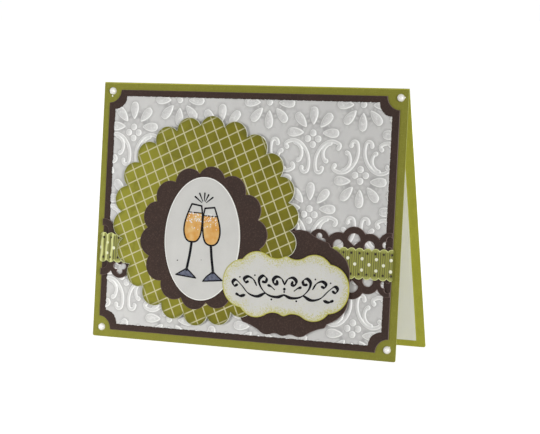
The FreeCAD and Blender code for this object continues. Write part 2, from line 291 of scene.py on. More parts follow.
@dataclass(frozen=True)
class LatticePrint(CardStock):
    """Offset-printed design paper: green ink with a watercolour bloom and an unprinted cream lattice."""

    line_colour: str = "c1bc93"
    bloom_colour: str = "5f5a0e"
    # Painted light: the green grows paler towards the left.
    left_light_colour: str = "8e8c2a"
    rim_colour: str = "d9d9c4"
    # Darker towards the cut edge: inked rim and painted shade.
    shade_colour: str = "55560c"
    pitch: float = 4.65
    line_width: float = 0.48
    line_blur: float = 0.06
    turn: float = 25.0
    crossing: Pair = (-21.3, 37.7)
    left_light_reach: Pair = (-10.0, -62.0)
    bloom_size: float = 7.0
    rim_width: float = 0.16
    shade_width: float = 1.9

    def surface(self, tree: Tree, place: Socket, colour: Socket) -> Socket:
        """Paints light as a paler green to the left, prints the bloom and the lattice, darkens towards the
        edge as inked rim and painted shade, and keeps the bare cut line.

        Args:
            tree: the node tree.
            place: coordinates in millimetres.
            colour: the green ink's colour.

        Returns:
            The printed colour.
        """
        across = add_node(tree, "SeparateXYZ", (place,))
        # Painted light: paler green towards the left.
        left_light = add_node(tree, "MapRange", (across, *self.left_light_reach))
        green = add_node(tree, "Mix", (left_light, colour, self.left_light_colour))
        wash = add_node(tree, "TexNoise", {"Vector": place, "Scale": 1 / self.bloom_size, "Detail": 4.0,
                                           "Roughness": 0.6})
        bloom = add_node(tree, "MapRange", (wash, 0.48, 0.72, 0.0, 0.75))
        washed = add_node(tree, "Mix", (bloom, green, self.bloom_colour))
        turned = add_node(tree, "VectorRotate", {"Vector": place, "Angle": math.radians(-self.turn)},
                          rotation_type="Z_AXIS")
        along = add_node(tree, "SeparateXYZ", (turned,)).node
        half, line = self.pitch / 2, self.line_width / 2
        lines = []
        for axis, start in enumerate(self.crossing):
            shifted = add_node(tree, "Math", (along.outputs[axis], start), operation="SUBTRACT")
            wrapped = add_node(tree, "Math", (shifted, half, -half), operation="WRAP")
            gap = add_node(tree, "Math", (wrapped,), operation="ABSOLUTE")
            lines.append(add_node(tree, "MapRange", (gap, line + self.line_blur, line - self.line_blur)))
        lattice = add_node(tree, "Math", lines, operation="MAXIMUM")
        printed = add_node(tree, "Mix", (lattice, washed, self.line_colour))
        # Darker towards the cut edge: inked rim and painted shade.
        shade = edge_share(tree, self.shade_width, self.rim_width, 0.6)
        shaded = add_node(tree, "Mix", (shade, printed, self.shade_colour))
        rim = edge_share(tree, self.rim_width, self.rim_width * 0.6)
        return add_node(tree, "Mix", (rim, shaded, self.rim_colour))


@dataclass(frozen=True)
class SpongedStock(CardStock):
    """White card whose edge was dabbed with a sponge of green ink: solid at the cut, speckled inwards."""

    ink_colour: str = "bab53c"
    solid_width: float = 0.38
    speckle_width: float = 5.2
    speckle_size: float = 0.42
    patch_size: float = 6.0

    def surface(self, tree: Tree, place: Socket, colour: Socket) -> Socket:
        """Dabs ink that thins into specks away from the edge.

        Args:
            tree: the node tree.
            place: coordinates in millimetres.
            colour: the card's colour.

        Returns:
            The inked colour.
        """
        edge = add_node(tree, "Attribute", (), attribute_name="edge")
        patch = add_node(tree, "TexNoise", {"Vector": place, "Scale": 1 / self.patch_size})
        reach = add_node(tree, "MapRange", (patch, 0.3, 0.7, self.speckle_width * 0.45, self.speckle_width))
        share = add_node(tree, "Math", (edge, reach), operation="DIVIDE")
        density = add_node(tree, "MapRange", (share, 1.0, 0.0, 0.32, 0.6))
        speck = add_node(tree, "TexNoise", {"Vector": place, "Scale": 1 / self.speckle_size, "Detail": 2.0})
        over = add_node(tree, "Math", (density, speck), operation="SUBTRACT")
        dab = add_node(tree, "MapRange", (over, -0.08, 0.12, 0.0, 0.75))
        solid = edge_share(tree, self.solid_width * 1.8, self.solid_width * 0.4)
        ink = add_node(tree, "Math", (dab, solid), operation="MAXIMUM")
        return add_node(tree, "Mix", (ink, colour, self.ink_colour))


@dataclass(frozen=True)
class RimmedStock(CardStock):
    """Card with a thin pale line along its cut edge, a painted highlight."""

    rim_colour: str = "f4f4ee"
    rim_width: float = 0.45

    def surface(self, tree: Tree, place: Socket, colour: Socket) -> Socket:
        """Paints highlight along the cut edge.

        Args:
            tree: the node tree.
            place: coordinates in millimetres; not used.
            colour: the card's colour.

        Returns:
            The colour with its pale rim.
        """
        # Painted highlight: a pale line along the cut edge.
        return add_node(tree, "Mix", (edge_share(tree, self.rim_width, self.rim_width * 0.5), colour,
                                      self.rim_colour))


@dataclass(frozen=True)
class Grosgrain(Finish):
    """Woven polyester ribbon: thick weft ribs under a fine warp, with a low sheen and printed dots.

    Attributes along and across give each point's place on the flat ribbon. The ribs are in the mesh, and
    the shader paints shade in the grooves between them. Real ribs are 0.6 mm apart, too fine to show, so they
    are drawn 0.95 mm apart. A third attribute carries painted highlight on the fold crests and painted shade
    in their valleys; the cut edge has a painted highlight, and painted shade darkens round the stitch holes.
    """

    name: str = "grosgrain_ribbon"
    colour: str = "8a8a32"
    # Painted shade in the rib grooves and the fold valleys.
    groove_shade_colour: str = "3e400a"
    picot_colour: str = "929544"
    # Painted highlight on the cut edge and the fold crests.
    rim_colour: str = "d3d68e"
    dot_colour: str = "e4e4ce"
    # Painted shade round the stitch holes.
    eyelet_shade_colour: str = "2a2808"
    rib_pitch: float = 0.95
    rim_width: float = 0.3
    uneven_size: float = 1.6
    yarn_size: float = 0.15
    dots: Pair = (6.2, 0.66)
    dot_rows: tuple[Pair, ...] = ((2.05, 48.1), (-0.2, 51.2), (-2.45, 48.1))
    eyelets: Pair = (3.48, 0.5)
    eyelet_rows: tuple[Pair, ...] = ((4.17, 4.34), (-4.17, 4.34))
    spot_blur: float = 0.08
    body_half: float = 4.75

    def constants(self) -> dict[str, float]:
        """Polyester yarn, with a little sheen."""
        return {"Roughness": 0.55, "IOR": 1.5, "Sheen Weight": 0.12, "Sheen Roughness": 0.4}

    def spots(self, tree: Tree, places: tuple[Socket, Socket], colours: tuple[Socket, str], size: Pair,
              rows: tuple[Pair, ...]) -> Socket:
        """Adds rows of round spots.

        Args:
            tree: the node tree.
            places: coordinates along and across the ribbon.
            colours: the colour under the spots, and theirs.
            size: the spots' pitch and radius.
            rows: each row's place across and one spot's place along.

        Returns:
            The colour with the spots on it.
        """
        (along, across), (colour, spot_colour), (pitch, radius) = places, colours, size
        for row, start in rows:
            up = add_node(tree, "Math", (across, row), operation="SUBTRACT")
            shifted = add_node(tree, "Math", (along, start), operation="SUBTRACT")
            over = add_node(tree, "Math", (shifted, pitch / 2, -pitch / 2), operation="WRAP")
            offset = add_node(tree, "CombineXYZ", (over, up))
            gap = add_node(tree, "VectorMath", (offset,), operation="LENGTH").node.outputs["Value"]
            spot = add_node(tree, "MapRange", (gap, radius + self.spot_blur, radius - self.spot_blur))
            colour = add_node(tree, "Mix", (spot, colour, spot_colour))
        return colour

    def paint(self, tree: Tree, place: Socket) -> tuple[Socket, dict]:
        """Weaves ribs and looped edges, prints dots, paints shade in grooves, round holes and in fold
        valleys, highlight on edge and crests.

        Args:
            tree: the node tree.
            place: coordinates in millimetres.

        Returns:
            The colour, and the inputs of the bump node.
        """
        along, across, fold_light = [add_node(tree, "Attribute", (), attribute_name=name)
                               for name in ("along", "across", "fold_light")]
        # Painted shade in the grooves between the ribs.
        phase = add_node(tree, "Math", (along, math.tau / self.rib_pitch), operation="MULTIPLY")
        wave = add_node(tree, "Math", (phase,), operation="COSINE")
        groove_shade = add_node(tree, "MapRange", (wave, 0.6, -0.8, 0.0, 0.9))
        uneven = add_node(tree, "TexNoise", {"W": along, "Scale": 1 / self.uneven_size, "Detail": 2.0},
                          noise_dimensions="1D")
        tension = add_node(tree, "MapRange", (uneven, 0.3, 0.65, 0.45))
        slack = add_node(tree, "Math", (groove_shade, tension), operation="MULTIPLY")
        ribbed = add_node(tree, "Mix", (slack, self.colour, self.groove_shade_colour))
        out = add_node(tree, "Math", (across,), operation="ABSOLUTE")
        loops = add_node(tree, "MapRange", (out, self.body_half, self.body_half + 0.5))
        colour = add_node(tree, "Mix", (loops, ribbed, self.picot_colour))
        # Painted shade round the stitch holes.
        colour = self.spots(tree, (along, across), (colour, self.eyelet_shade_colour), self.eyelets,
                            self.eyelet_rows)
        colour = self.spots(tree, (along, across), (colour, self.dot_colour), self.dots, self.dot_rows)
        # Painted highlight on the fold crests and the cut edge, painted shade in the fold valleys.
        crest = add_node(tree, "MapRange", (fold_light, 0.0, 1.0, 0.0, 0.85))
        rim = edge_share(tree, self.rim_width, self.rim_width * 0.6)
        light = add_node(tree, "Math", (rim, crest), operation="MAXIMUM")
        highlighted = add_node(tree, "Mix", (light, colour, self.rim_colour))
        gully_shade = add_node(tree, "MapRange", (fold_light, 0.0, -1.0, 0.0, 0.85))
        folded = add_node(tree, "Mix", (gully_shade, highlighted, self.groove_shade_colour))
        yarn = add_node(tree, "TexNoise", {"Vector": place, "Scale": 1 / self.yarn_size})
        return folded, {"Height": yarn, "Strength": 0.4, "Distance": 0.02 * MM}


@dataclass(frozen=True)
class Coated(Finish):
    """A film or bead with one clear surface: stamping ink, marker colour, gloss glaze, pearl or glue.

    The eye sees a colour that drifts a little, under a surface smoother than the paper round it.
    """

    colour: str
    drift_colour: str
    drift_size: float
    roughness: float
    coat: float = 0.0
    ior: float = 1.5
    ripple: float = 0.0
    specular: float = 0.5

    def constants(self) -> dict[str, float]:
        """A smooth skin, and a clear coat where it has one."""
        return {"Roughness": self.roughness, "IOR": self.ior, "Specular IOR Level": self.specular,
                "Coat Weight": self.coat, "Coat Roughness": 0.08}

    def paint(self, tree: Tree, place: Socket) -> tuple[Socket, dict]:
        """Lets the colour drift and the skin ripple.

        Args:
            tree: the node tree.
            place: coordinates in millimetres.

        Returns:
            The colour, and the inputs of the bump node.
        """
        noise = add_node(tree, "TexNoise", {"Vector": place, "Scale": 1 / self.drift_size, "Detail": 2.0})
        share = add_node(tree, "MapRange", (noise, 0.38, 0.62))
        drift = add_node(tree, "Mix", (share, self.colour, self.drift_colour))
        return drift, {"Height": noise, "Strength": 0.5, "Distance": self.ripple * MM}


@dataclass(frozen=True)
class FoamTape(Finish):
    """White polyethylene foam with a closed skin: round 0.3 mm cells dimple its cut sides."""

    name: str = "closed_cell_foam"
    colour: str = "e8e8e4"
    cell_colour: str = "cfcfca"
    cell_size: float = 0.3

    def constants(self) -> dict[str, float]:
        """Matt plastic."""
        return {"Roughness": 0.7, "IOR": 1.5, "Specular IOR Level": 0.3}

    def paint(self, tree: Tree, place: Socket) -> tuple[Socket, dict]:
        """Fills the foam with cells.

        Args:
            tree: the node tree.
            place: coordinates in millimetres.

        Returns:
            The colour, and the inputs of the bump node.
        """
        cells = add_node(tree, "TexVoronoi", {"Vector": place, "Scale": 1 / self.cell_size})
        wall = add_node(tree, "Mix", (cells, self.cell_colour, self.colour))
        return wall, {"Height": cells, "Strength": 0.7, "Distance": 0.05 * MM}


# Folded sheet and liner: dyed through, so their cut edges show paler, broken fibre.
OLIVE = CardStock("olive_cardstock", "83822f", "7f7d2c", "9e9c4c", cloud_size=3.0, fleck_share=0.42)
# Painted light: the olive card's inner side is a paler copy of its outside.
OLIVE_INSIDE_PAINTED_LIGHT = CardStock("olive_inner_side_painted_light", "b9b846", "b3b242", "cccb64", cloud_size=3.0, fleck_share=0.42)
OLIVE_EDGE = CardStock("olive_cut_edge", "b5b96a", "a9ad5c", "d0d38c", cloud_size=1.5)
LINER = CardStock("cream_liner_card", "fcfcf4", "fafaf0", "fdfdf8", cloud_size=4.0)
LINER_EDGE = CardStock("cream_cut_edge", "ecece2", "e2e2d6", "f6f6f0", cloud_size=1.5)
# Die-cut layers: the pale rim on the dark card and the oval is painted highlight, as is the dark card's pale
# cut edge, and the white stock is written grey as painted shade.
BROWN = RimmedStock("dark_brown_cardstock", "362721", "31241f", "5a463e", fleck_size=0.55,
                    fleck_share=0.45, rim_colour="65534d", rim_width=0.22)
# Painted highlight: the dark card's cut edge is written pale.
BROWN_EDGE = CardStock("brown_cut_edge", "a08e88", "8c7a76", "c0b0aa", cloud_size=1.5)
# White card written grey, as painted shade.
EMBOSSED = EmbossedStock("embossed_white_card", "c9c8c5", "c3c2c0", "d4d3d1", roughness=0.5,
                         fleck_share=0.25, tooth=0.02)
WHITE_EDGE = CardStock("white_cut_edge", "e9e9e2", "dededa", "f6f6f2", cloud_size=1.5)
LATTICE = LatticePrint("printed_green_paper", "767009", "6c660a", "837c0e", roughness=0.7)
# White card written grey, as painted shade; the oval's pale rim is painted highlight.
OVAL = RimmedStock("white_oval_card", "cac9c5", "c3c2be", "d3d2ce")
SPONGED = SpongedStock("sponged_white_card", "cfcec9", "c9c8c3", "d8d7d0")
SPONGED_EDGE = CardStock("inked_cut_edge", "d0cc68", "c0bc48", "e4e098", cloud_size=1.5)
# Ribbon and what holds or decorates the layers: yarn, foam, glossy film, matt ink, glaze and pearl.
RIBBON = Grosgrain()
FOAM = FoamTape()
ADHESIVE = Coated("tape_liner_film", "e4e2d8", "dcdacf", 4.0, 0.35, ripple=0.02)
INK = Coated("black_pigment_ink", "100f12", "1c1a1e", 0.6, 0.7, ripple=0.01, specular=0.1)
DRINK = Coated("amber_glaze", "c88d32", "cfa660", 3.6, 0.4, ripple=0.05, specular=0.25)
FOOT_INK = Coated("slate_marker", "4a4e60", "666a7a", 1.2, 0.6, specular=0.2)
GLITTER = Coated("iridescent_glitter", "e8dcc8", "c4d4e4", 0.35, 0.2, coat=0.3)
PEARL = Coated("pearl_lacquer", "f8f6f0", "ece8de", 1.1, 0.12, coat=1.0, ior=1.6)
GLUE = Coated("dried_craft_glue", "f2f2ea", "e6e6dc", 0.8, 0.25, coat=0.4)
MATERIALS: dict[str, bpy.types.Material] = {}


def shared(finish: Finish) -> bpy.types.Material:
    """The one material of a finish, made when it is first asked for.

    Args:
        finish: what it is.

    Returns:
        The material.
    """
    if finish.name not in MATERIALS:
        MATERIALS[finish.name] = finish.material()
    return MATERIALS[finish.name]


# Outlines in the drawing plane


def polar(radius: float, degrees: float) -> Pair:
    """A point at a radius and an angle."""
    return (radius * math.cos(math.radians(degrees)), radius * math.sin(math.radians(degrees)))


def arc_points(start: Pair, middle: Pair, end: Pair, step: float = OUTLINE_STEP) -> list[Pair]:
    """Points along the arc through three points, without its end.

    Args:
        start: where the arc starts.
        middle: any point that it passes.
        end: where it ends.
        step: distance between the points.

    Returns:
        The points, from the start on.
    """
    (ax, ay), (bx, by), (cx, cy) = start, middle, end
    spread = 2 * (ax * (by - cy) + bx * (cy - ay) + cx * (ay - by))
    squares = [x * x + y * y for x, y in (start, middle, end)]
    centre_x = (squares[0] * (by - cy) + squares[1] * (cy - ay) + squares[2] * (ay - by)) / spread
    centre_y = (squares[0] * (cx - bx) + squares[1] * (ax - cx) + squares[2] * (bx - ax)) / spread
    radius = math.hypot(ax - centre_x, ay - centre_y)
    first, passed, last = [math.atan2(y - centre_y, x - centre_x) for x, y in (start, middle, end)]
    sweep = (last - first) % math.tau
    if (passed - first) % math.tau > sweep:
        sweep -= math.tau
    count = max(2, math.ceil(abs(sweep) * radius / step))
    turns = [first + sweep * k / count for k in range(count)]
    return [(centre_x + radius * math.cos(turn), centre_y + radius * math.sin(turn)) for turn in turns]


def closed(points: Sequence[Pair], step: float = OUTLINE_STEP) -> Loop:
    """A closed outline through points, its long sides divided and its direction anticlockwise.

    Args:
        points: the corners in order.
        step: the longest side that stays whole.

    Returns:
        The outline's points.
    """
    filled = []
    for (x, y), (next_x, next_y) in zip(points, list(points[1:]) + [points[0]]):
        pieces = max(1, round(math.hypot(next_x - x, next_y - y) / step))
        filled += [(x + (next_x - x) * k / pieces, y + (next_y - y) * k / pieces) for k in range(pieces)]
    loop = np.array(filled)
    after = np.roll(loop, -1, axis=0)
    area = (loop[:, 0] * after[:, 1] - after[:, 0] * loop[:, 1]).sum()
    return loop if area > 0 else loop[::-1]


def circle(x: float, y: float, radius: float, step: float = OUTLINE_STEP) -> Loop:
    """A round outline.

    Args:
        x: middle across.
        y: middle up.
        radius: its radius.
        step: distance between the points.

    Returns:
        The outline.
    """
    count = max(10, math.ceil(math.tau * radius / step))
    turns = np.arange(count) * math.tau / count
    return np.stack([x + radius * np.cos(turns), y + radius * np.sin(turns)], axis=1)


def rectangle(width: float, height: float) -> Loop:
    """A rectangular outline round the origin."""
    x, y = width / 2, height / 2
    return closed([(-x, -y), (x, -y), (x, y), (-x, y)])


def ticket(width: float, height: float, radius: float) -> Loop:
    """A rectangle whose corners are bitten by quarter circles.

    Args:
        width: size across.
        height: size up.
        radius: radius of each bite.

    Returns:
        The outline.
    """
    points = []
    reach = radius / math.sqrt(2)
    for side_x, side_y in ((1, 1), (-1, 1), (-1, -1), (1, -1)):
        x, y = side_x * width / 2, side_y * height / 2
        below, beside = (x, y - side_y * radius), (x - side_x * radius, y)
        middle = (x - side_x * reach, y - side_y * reach)
        ends = (below, beside) if side_x == side_y else (beside, below)
        points += arc_points(ends[0], middle, ends[1]) + [ends[1]]
    return closed(points)


def scalloped(radii: Pair, lobes: int, phase: float, place: Pair) -> Loop:
    """A circle of outward lobes that meet at valleys.

    Args:
        radii: out to the lobes' crests and to the valleys.
        lobes: how many.
        phase: angle of one valley.
        place: the middle.

    Returns:
        The outline.
    """
    (radius, valley), turn = radii, 360 / lobes
    points = []
    for start in [phase + lobe * turn for lobe in range(lobes)]:
        crest, end = polar(radius, start + turn / 2), polar(valley, start + turn)
        points += arc_points(polar(valley, start), crest, end)
    return np.array(points) + place


def mirrored_quarters(start: Pair, quarter: Sequence[tuple[Pair, Pair]], place: Pair) -> Loop:
    """A closed outline from the arcs of its first quarter, mirrored across both axes.

    Args:
        start: the quarter's first point, on the upright axis.
        quarter: each arc's middle and end, the last end on the level axis.
        place: the middle.

    Returns:
        The outline.
    """
    points, last = [], start
    for middle, end in quarter:
        points += arc_points(last, middle, end)
        last = end
    first = np.array(points + [last])
    back = first[::-1]
    turns = [first[:-1], back[:-1] * (1, -1), first[:-1] * (-1, -1), back[:-1] * (-1, 1)]
    return np.vstack(turns)[::-1] + place


def smooth_path(points: Sequence[Pair], step: float) -> np.ndarray:
    """Points evenly spaced along a smooth curve through a few points.

    Args:
        points: what the curve passes.
        step: distance between the points that come back.

    Returns:
        The curve's points.
    """
    given = np.array(points, float)
    padded = np.vstack([2 * given[0] - given[1], given, 2 * given[-1] - given[-2]])
    share = np.linspace(0, 1, 24, endpoint=False)[:, None]
    runs = []
    for before, here, after, beyond in zip(padded, padded[1:], padded[2:], padded[3:]):
        runs.append(0.5 * (2 * here + (after - before) * share
                           + (2 * before - 5 * here + 4 * after - beyond) * share ** 2
                           + (3 * here - before - 3 * after + beyond) * share ** 3))
    dense = np.vstack(runs + [given[-1:]])
    travelled = np.concatenate([[0], np.cumsum(np.linalg.norm(np.diff(dense, axis=0), axis=1))])
    places = np.linspace(0, travelled[-1], max(2, round(travelled[-1] / step) + 1))
    return np.stack([np.interp(places, travelled, dense[:, axis]) for axis in (0, 1)], axis=1)


def left_normals(path: np.ndarray) -> np.ndarray:
    """Unit normals on the left of an open path, one at each point.

    Args:
        path: its points.

    Returns:
        The normals.
    """
    run = np.gradient(path, axis=0)
    normals = np.stack([-run[:, 1], run[:, 0]], axis=1)
    return normals / np.maximum(np.linalg.norm(normals, axis=1, keepdims=True), 1e-9)


@dataclass
class Stroke:
    """A band of changing width along a path: a pen stroke, or a raised line of the embossing."""

    path: np.ndarray
    half_widths: np.ndarray

    @classmethod
    def dot(cls, x: float, y: float, radius: float, half: float = 0.01) -> "Stroke":
        """A round dot: a very short stroke."""
        return cls(np.array([(x, y)]) + np.array([(-half, 0.0), (half, 0.0)]), np.full(2, radius))

    def depth(self, points: np.ndarray) -> np.ndarray:
        """How far inside the stroke each point lies, negative outside.

        Args:
            points: what to measure.

        Returns:
            The depths.
        """
        best = np.full(len(points), -np.inf)
        for first in range(0, len(points), CHUNK):
            part = points[first:first + CHUNK, None, :]
            gaps = np.sqrt(((part - self.path) ** 2).sum(2))
            best[first:first + CHUNK] = (self.half_widths - gaps).max(1)
        return best

    def contour(self, inwards: float) -> Loop:
        """The stroke's round-ended outline, moved inwards.

        Args:
            inwards: distance inwards, negative for outwards.

        Returns:
            The outline, anticlockwise.
        """
        normals = left_normals(self.path)
        reach = np.maximum(self.half_widths - inwards, 0.02)
        left = self.path + normals * reach[:, None]
        right = self.path - normals * reach[:, None]
        caps = []
        for place, turn in ((-1, -90.0), (0, 90.0)):
            facing = math.degrees(math.atan2(normals[place, 1], normals[place, 0])) - 90
            angles = np.radians(facing + turn + np.arange(CAP_STEP, 180, CAP_STEP))
            caps.append(self.path[place] + reach[place] * np.stack([np.cos(angles), np.sin(angles)], axis=1))
        return np.vstack([right, caps[0], left[::-1], caps[1]])


# Triangulated areas and the solids made from them


def sides_of(loops: Sequence[Loop]) -> tuple[np.ndarray, np.ndarray]:
    """Starts and ends of every side of some outlines."""
    return np.vstack(list(loops)), np.vstack([np.roll(loop, -1, axis=0) for loop in loops])


def edge_distance(points: np.ndarray, loops: Sequence[Loop]) -> np.ndarray:
    """Distance from each point to the nearest side of the outlines.

    Args:
        points: what to measure.
        loops: the outlines.

    Returns:
        The distances.
    """
    starts, ends = sides_of(loops)
    runs = ends - starts
    squares = np.maximum((runs ** 2).sum(1), 1e-12)
    nearest = np.zeros(len(points))
    for first in range(0, len(points), CHUNK):
        offsets = points[first:first + CHUNK, None, :] - starts
        shares = np.clip((offsets * runs).sum(2) / squares, 0, 1)
        gaps = offsets - shares[..., None] * runs
        nearest[first:first + CHUNK] = np.sqrt((gaps ** 2).sum(2).min(1))
    return nearest


def inside(points: np.ndarray, loops: Sequence[Loop]) -> np.ndarray:
    """Whether each point lies inside the outlines, with holes left out, by the even-odd rule.

    Args:
        points: what to test.
        loops: the outlines.

    Returns:
        True where a point is inside.
    """
    starts, ends = sides_of(loops)
    rises = np.where(ends[:, 1] == starts[:, 1], 1.0, ends[:, 1] - starts[:, 1])
    found = np.zeros(len(points), bool)
    for first in range(0, len(points), CHUNK):
        x, y = points[first:first + CHUNK, None, 0], points[first:first + CHUNK, None, 1]
        crosses = (starts[:, 1] > y) != (ends[:, 1] > y)
        at = starts[:, 0] + (y - starts[:, 1]) * (ends[:, 0] - starts[:, 0]) / rises
        found[first:first + CHUNK] = (crosses & (x < at)).sum(1) % 2 == 1
    return found


def inset(loop: Loop, distance: float) -> Loop:
    """An outline moved to its left, which is into the material.

    Args:
        loop: the outline.
        distance: how far.

    Returns:
        The moved outline.
    """
    runs = (loop - np.roll(loop, 1, axis=0), np.roll(loop, -1, axis=0) - loop)
    units = [run / np.maximum(np.linalg.norm(run, axis=1, keepdims=True), 1e-9) for run in runs]
    mean = sum(np.stack([-unit[:, 1], unit[:, 0]], axis=1) for unit in units)
    return loop + 2 * distance * mean / np.maximum(np.linalg.norm(mean, axis=1, keepdims=True), 0.6) ** 2


@dataclass
class Area:
    """A triangulated area: its points, its triangles and the directed sides of its boundary."""

    points: np.ndarray
    triangles: np.ndarray
    boundary: np.ndarray

    def loops(self) -> list[Loop]:
        """The boundary's closed outlines, material on their left, with crowded points dropped.

        Returns:
            The outlines.
        """
        follow: dict[int, list[int]] = {}
        for start, end in self.boundary.tolist():
            follow.setdefault(start, []).append(end)
        loops = []
        while follow:
            start = next(iter(follow))
            path, at = [start], start
            while True:
                after = follow[at].pop()
                if not follow[at]:
                    del follow[at]
                if after == start:
                    break
                path.append(after)
                at = after
            kept = [self.points[path[0]]]
            for place in path[1:]:
                if np.linalg.norm(self.points[place] - kept[-1]) > SHORTEST_SIDE:
                    kept.append(self.points[place])
            if len(kept) > 2:
                loops.append(np.array(kept))
        return loops


def triangulate(loops: Sequence[Loop], loose: np.ndarray,
                keep: Callable[[np.ndarray], np.ndarray]) -> Area:
    """Triangulates outlines and loose points together.

    Args:
        loops: closed outlines, which may cross.
        loose: more points.
        keep: says which triangle middles belong to the area.

    Returns:
        The area that is kept.
    """
    points = np.vstack(list(loops) + [loose])
    sides, first = [], 0
    for count in map(len, loops):
        sides += [(first + k, first + (k + 1) % count) for k in range(count)]
        first += count
    found, _, faces, *_ = geometry.delaunay_2d_cdt([Vector(point) for point in points], sides, [], 0,
                                                   1e-5, False)
    points = np.array([tuple(point) for point in found])
    triangles = np.array(faces)
    a, b, c = [points[triangles[:, k]] for k in range(3)]
    turned = (b[:, 0] - a[:, 0]) * (c[:, 1] - a[:, 1]) - (b[:, 1] - a[:, 1]) * (c[:, 0] - a[:, 0]) < 0
    triangles[turned] = triangles[turned][:, ::-1]
    triangles = triangles[keep((a + b + c) / 3)]
    used, compact = np.unique(triangles, return_inverse=True)
    triangles = compact.reshape(-1, 3)
    edges = triangles[:, [0, 1, 1, 2, 2, 0]].reshape(-1, 2)
    forward, backward = edges @ (len(used), 1), edges @ (1, len(used))
    return Area(points[used], triangles, edges[~np.isin(forward, backward)])


def joined(solids: Sequence[Loop], holes: Sequence[Loop], limit: Loop) -> list[Loop]:
    """The outlines of some overlapping areas joined, with holes cut out, inside a limit.

    Args:
        solids: areas to join.
        holes: areas to cut.
        limit: the area that the result has to lie in.

    Returns:
        The outlines of what is left.
    """
    def keep(middles: np.ndarray) -> np.ndarray:
        """Whether a triangle is in a solid, in no hole and in the limit."""
        kept = np.any([inside(middles, [loop]) for loop in solids], axis=0)
        for loop in holes:
            kept &= ~inside(middles, [loop])
        return kept & inside(middles, [limit])

    return triangulate([*solids, *holes, limit], NO_POINTS, keep).loops()


def stroke_area(strokes: Sequence[Stroke]) -> list[Loop]:
    """The joined outlines of some strokes.

    Args:
        strokes: what to join.

    Returns:
        The outlines.
    """
    def keep(middles: np.ndarray) -> np.ndarray:
        """Whether a triangle is in a stroke."""
        return np.any([stroke.depth(middles) > 0.01 for stroke in strokes], axis=0)

    return triangulate([stroke.contour(0.0) for stroke in strokes], NO_POINTS, keep).loops()


def lattice_points(loops: Sequence[Loop], spacing: float) -> np.ndarray:
    """Points in staggered rows over the box of some outlines.

    Args:
        loops: the outlines.
        spacing: distance between the points.

    Returns:
        The points.
    """
    low, high = np.vstack(list(loops)).min(0), np.vstack(list(loops)).max(0)
    rows = []
    for number, y in enumerate(np.arange(low[1], high[1], spacing * 0.866)):
        xs = np.arange(low[0] + spacing * 0.5 * (number % 2), high[0], spacing)
        rows.append(np.stack([xs, np.full(len(xs), y)], axis=1))
    return np.vstack(rows)


@dataclass
class Piece:
    """One mesh piece of the scene: its name, its slot and the nodes that it stands for."""

    name: str
    slot: Slot
    replaces: Sequence[str] = ()

    def finish(self, vertices: np.ndarray, faces: Sequence, finishes: Sequence[Finish], plane: Matrix,
               kinds: Sequence[int] | None = None, attributes: dict[str, np.ndarray] | None = None,
               sharp: float = 50.0) -> bpy.types.Object:
        """Makes the object, gives it its materials and rides it on the card.

        Args:
            vertices: corners in drawing millimetres.
            faces: corner numbers of each face.
            finishes: its finishes.
            plane: carries the drawing plane into place.
            kinds: finish number of each face, all the first if left out.
            attributes: values at each corner, by name.
            sharp: degrees past which an edge is left sharp.

        Returns:
            The object.
        """
        mesh = bpy.data.meshes.new(self.name)
        mesh.from_pydata((vertices * MM).tolist(), [], [list(map(int, face)) for face in faces])
        mesh.polygons.foreach_set("material_index", np.array(kinds or [0] * len(faces), np.int32))
        mesh.polygons.foreach_set("use_smooth", np.ones(len(faces), bool))
        for finish in finishes:
            mesh.materials.append(shared(finish))
        for name, values in (attributes or {}).items():
            layer = mesh.attributes.new(name, "FLOAT", "POINT")
            layer.data.foreach_set("value", values.astype(np.float32))
        mesh.update()
        mesh.set_sharp_from_angle(angle=math.radians(sharp))
        piece = bpy.data.objects.new(self.name, mesh)
        bpy.context.scene.collection.objects.link(piece)
        piece.matrix_world = plane
        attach(piece, ROOT)
        if self.replaces:
            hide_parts(*self.replaces)
        log.info("%s: %d faces", self.name, len(faces))
        return piece


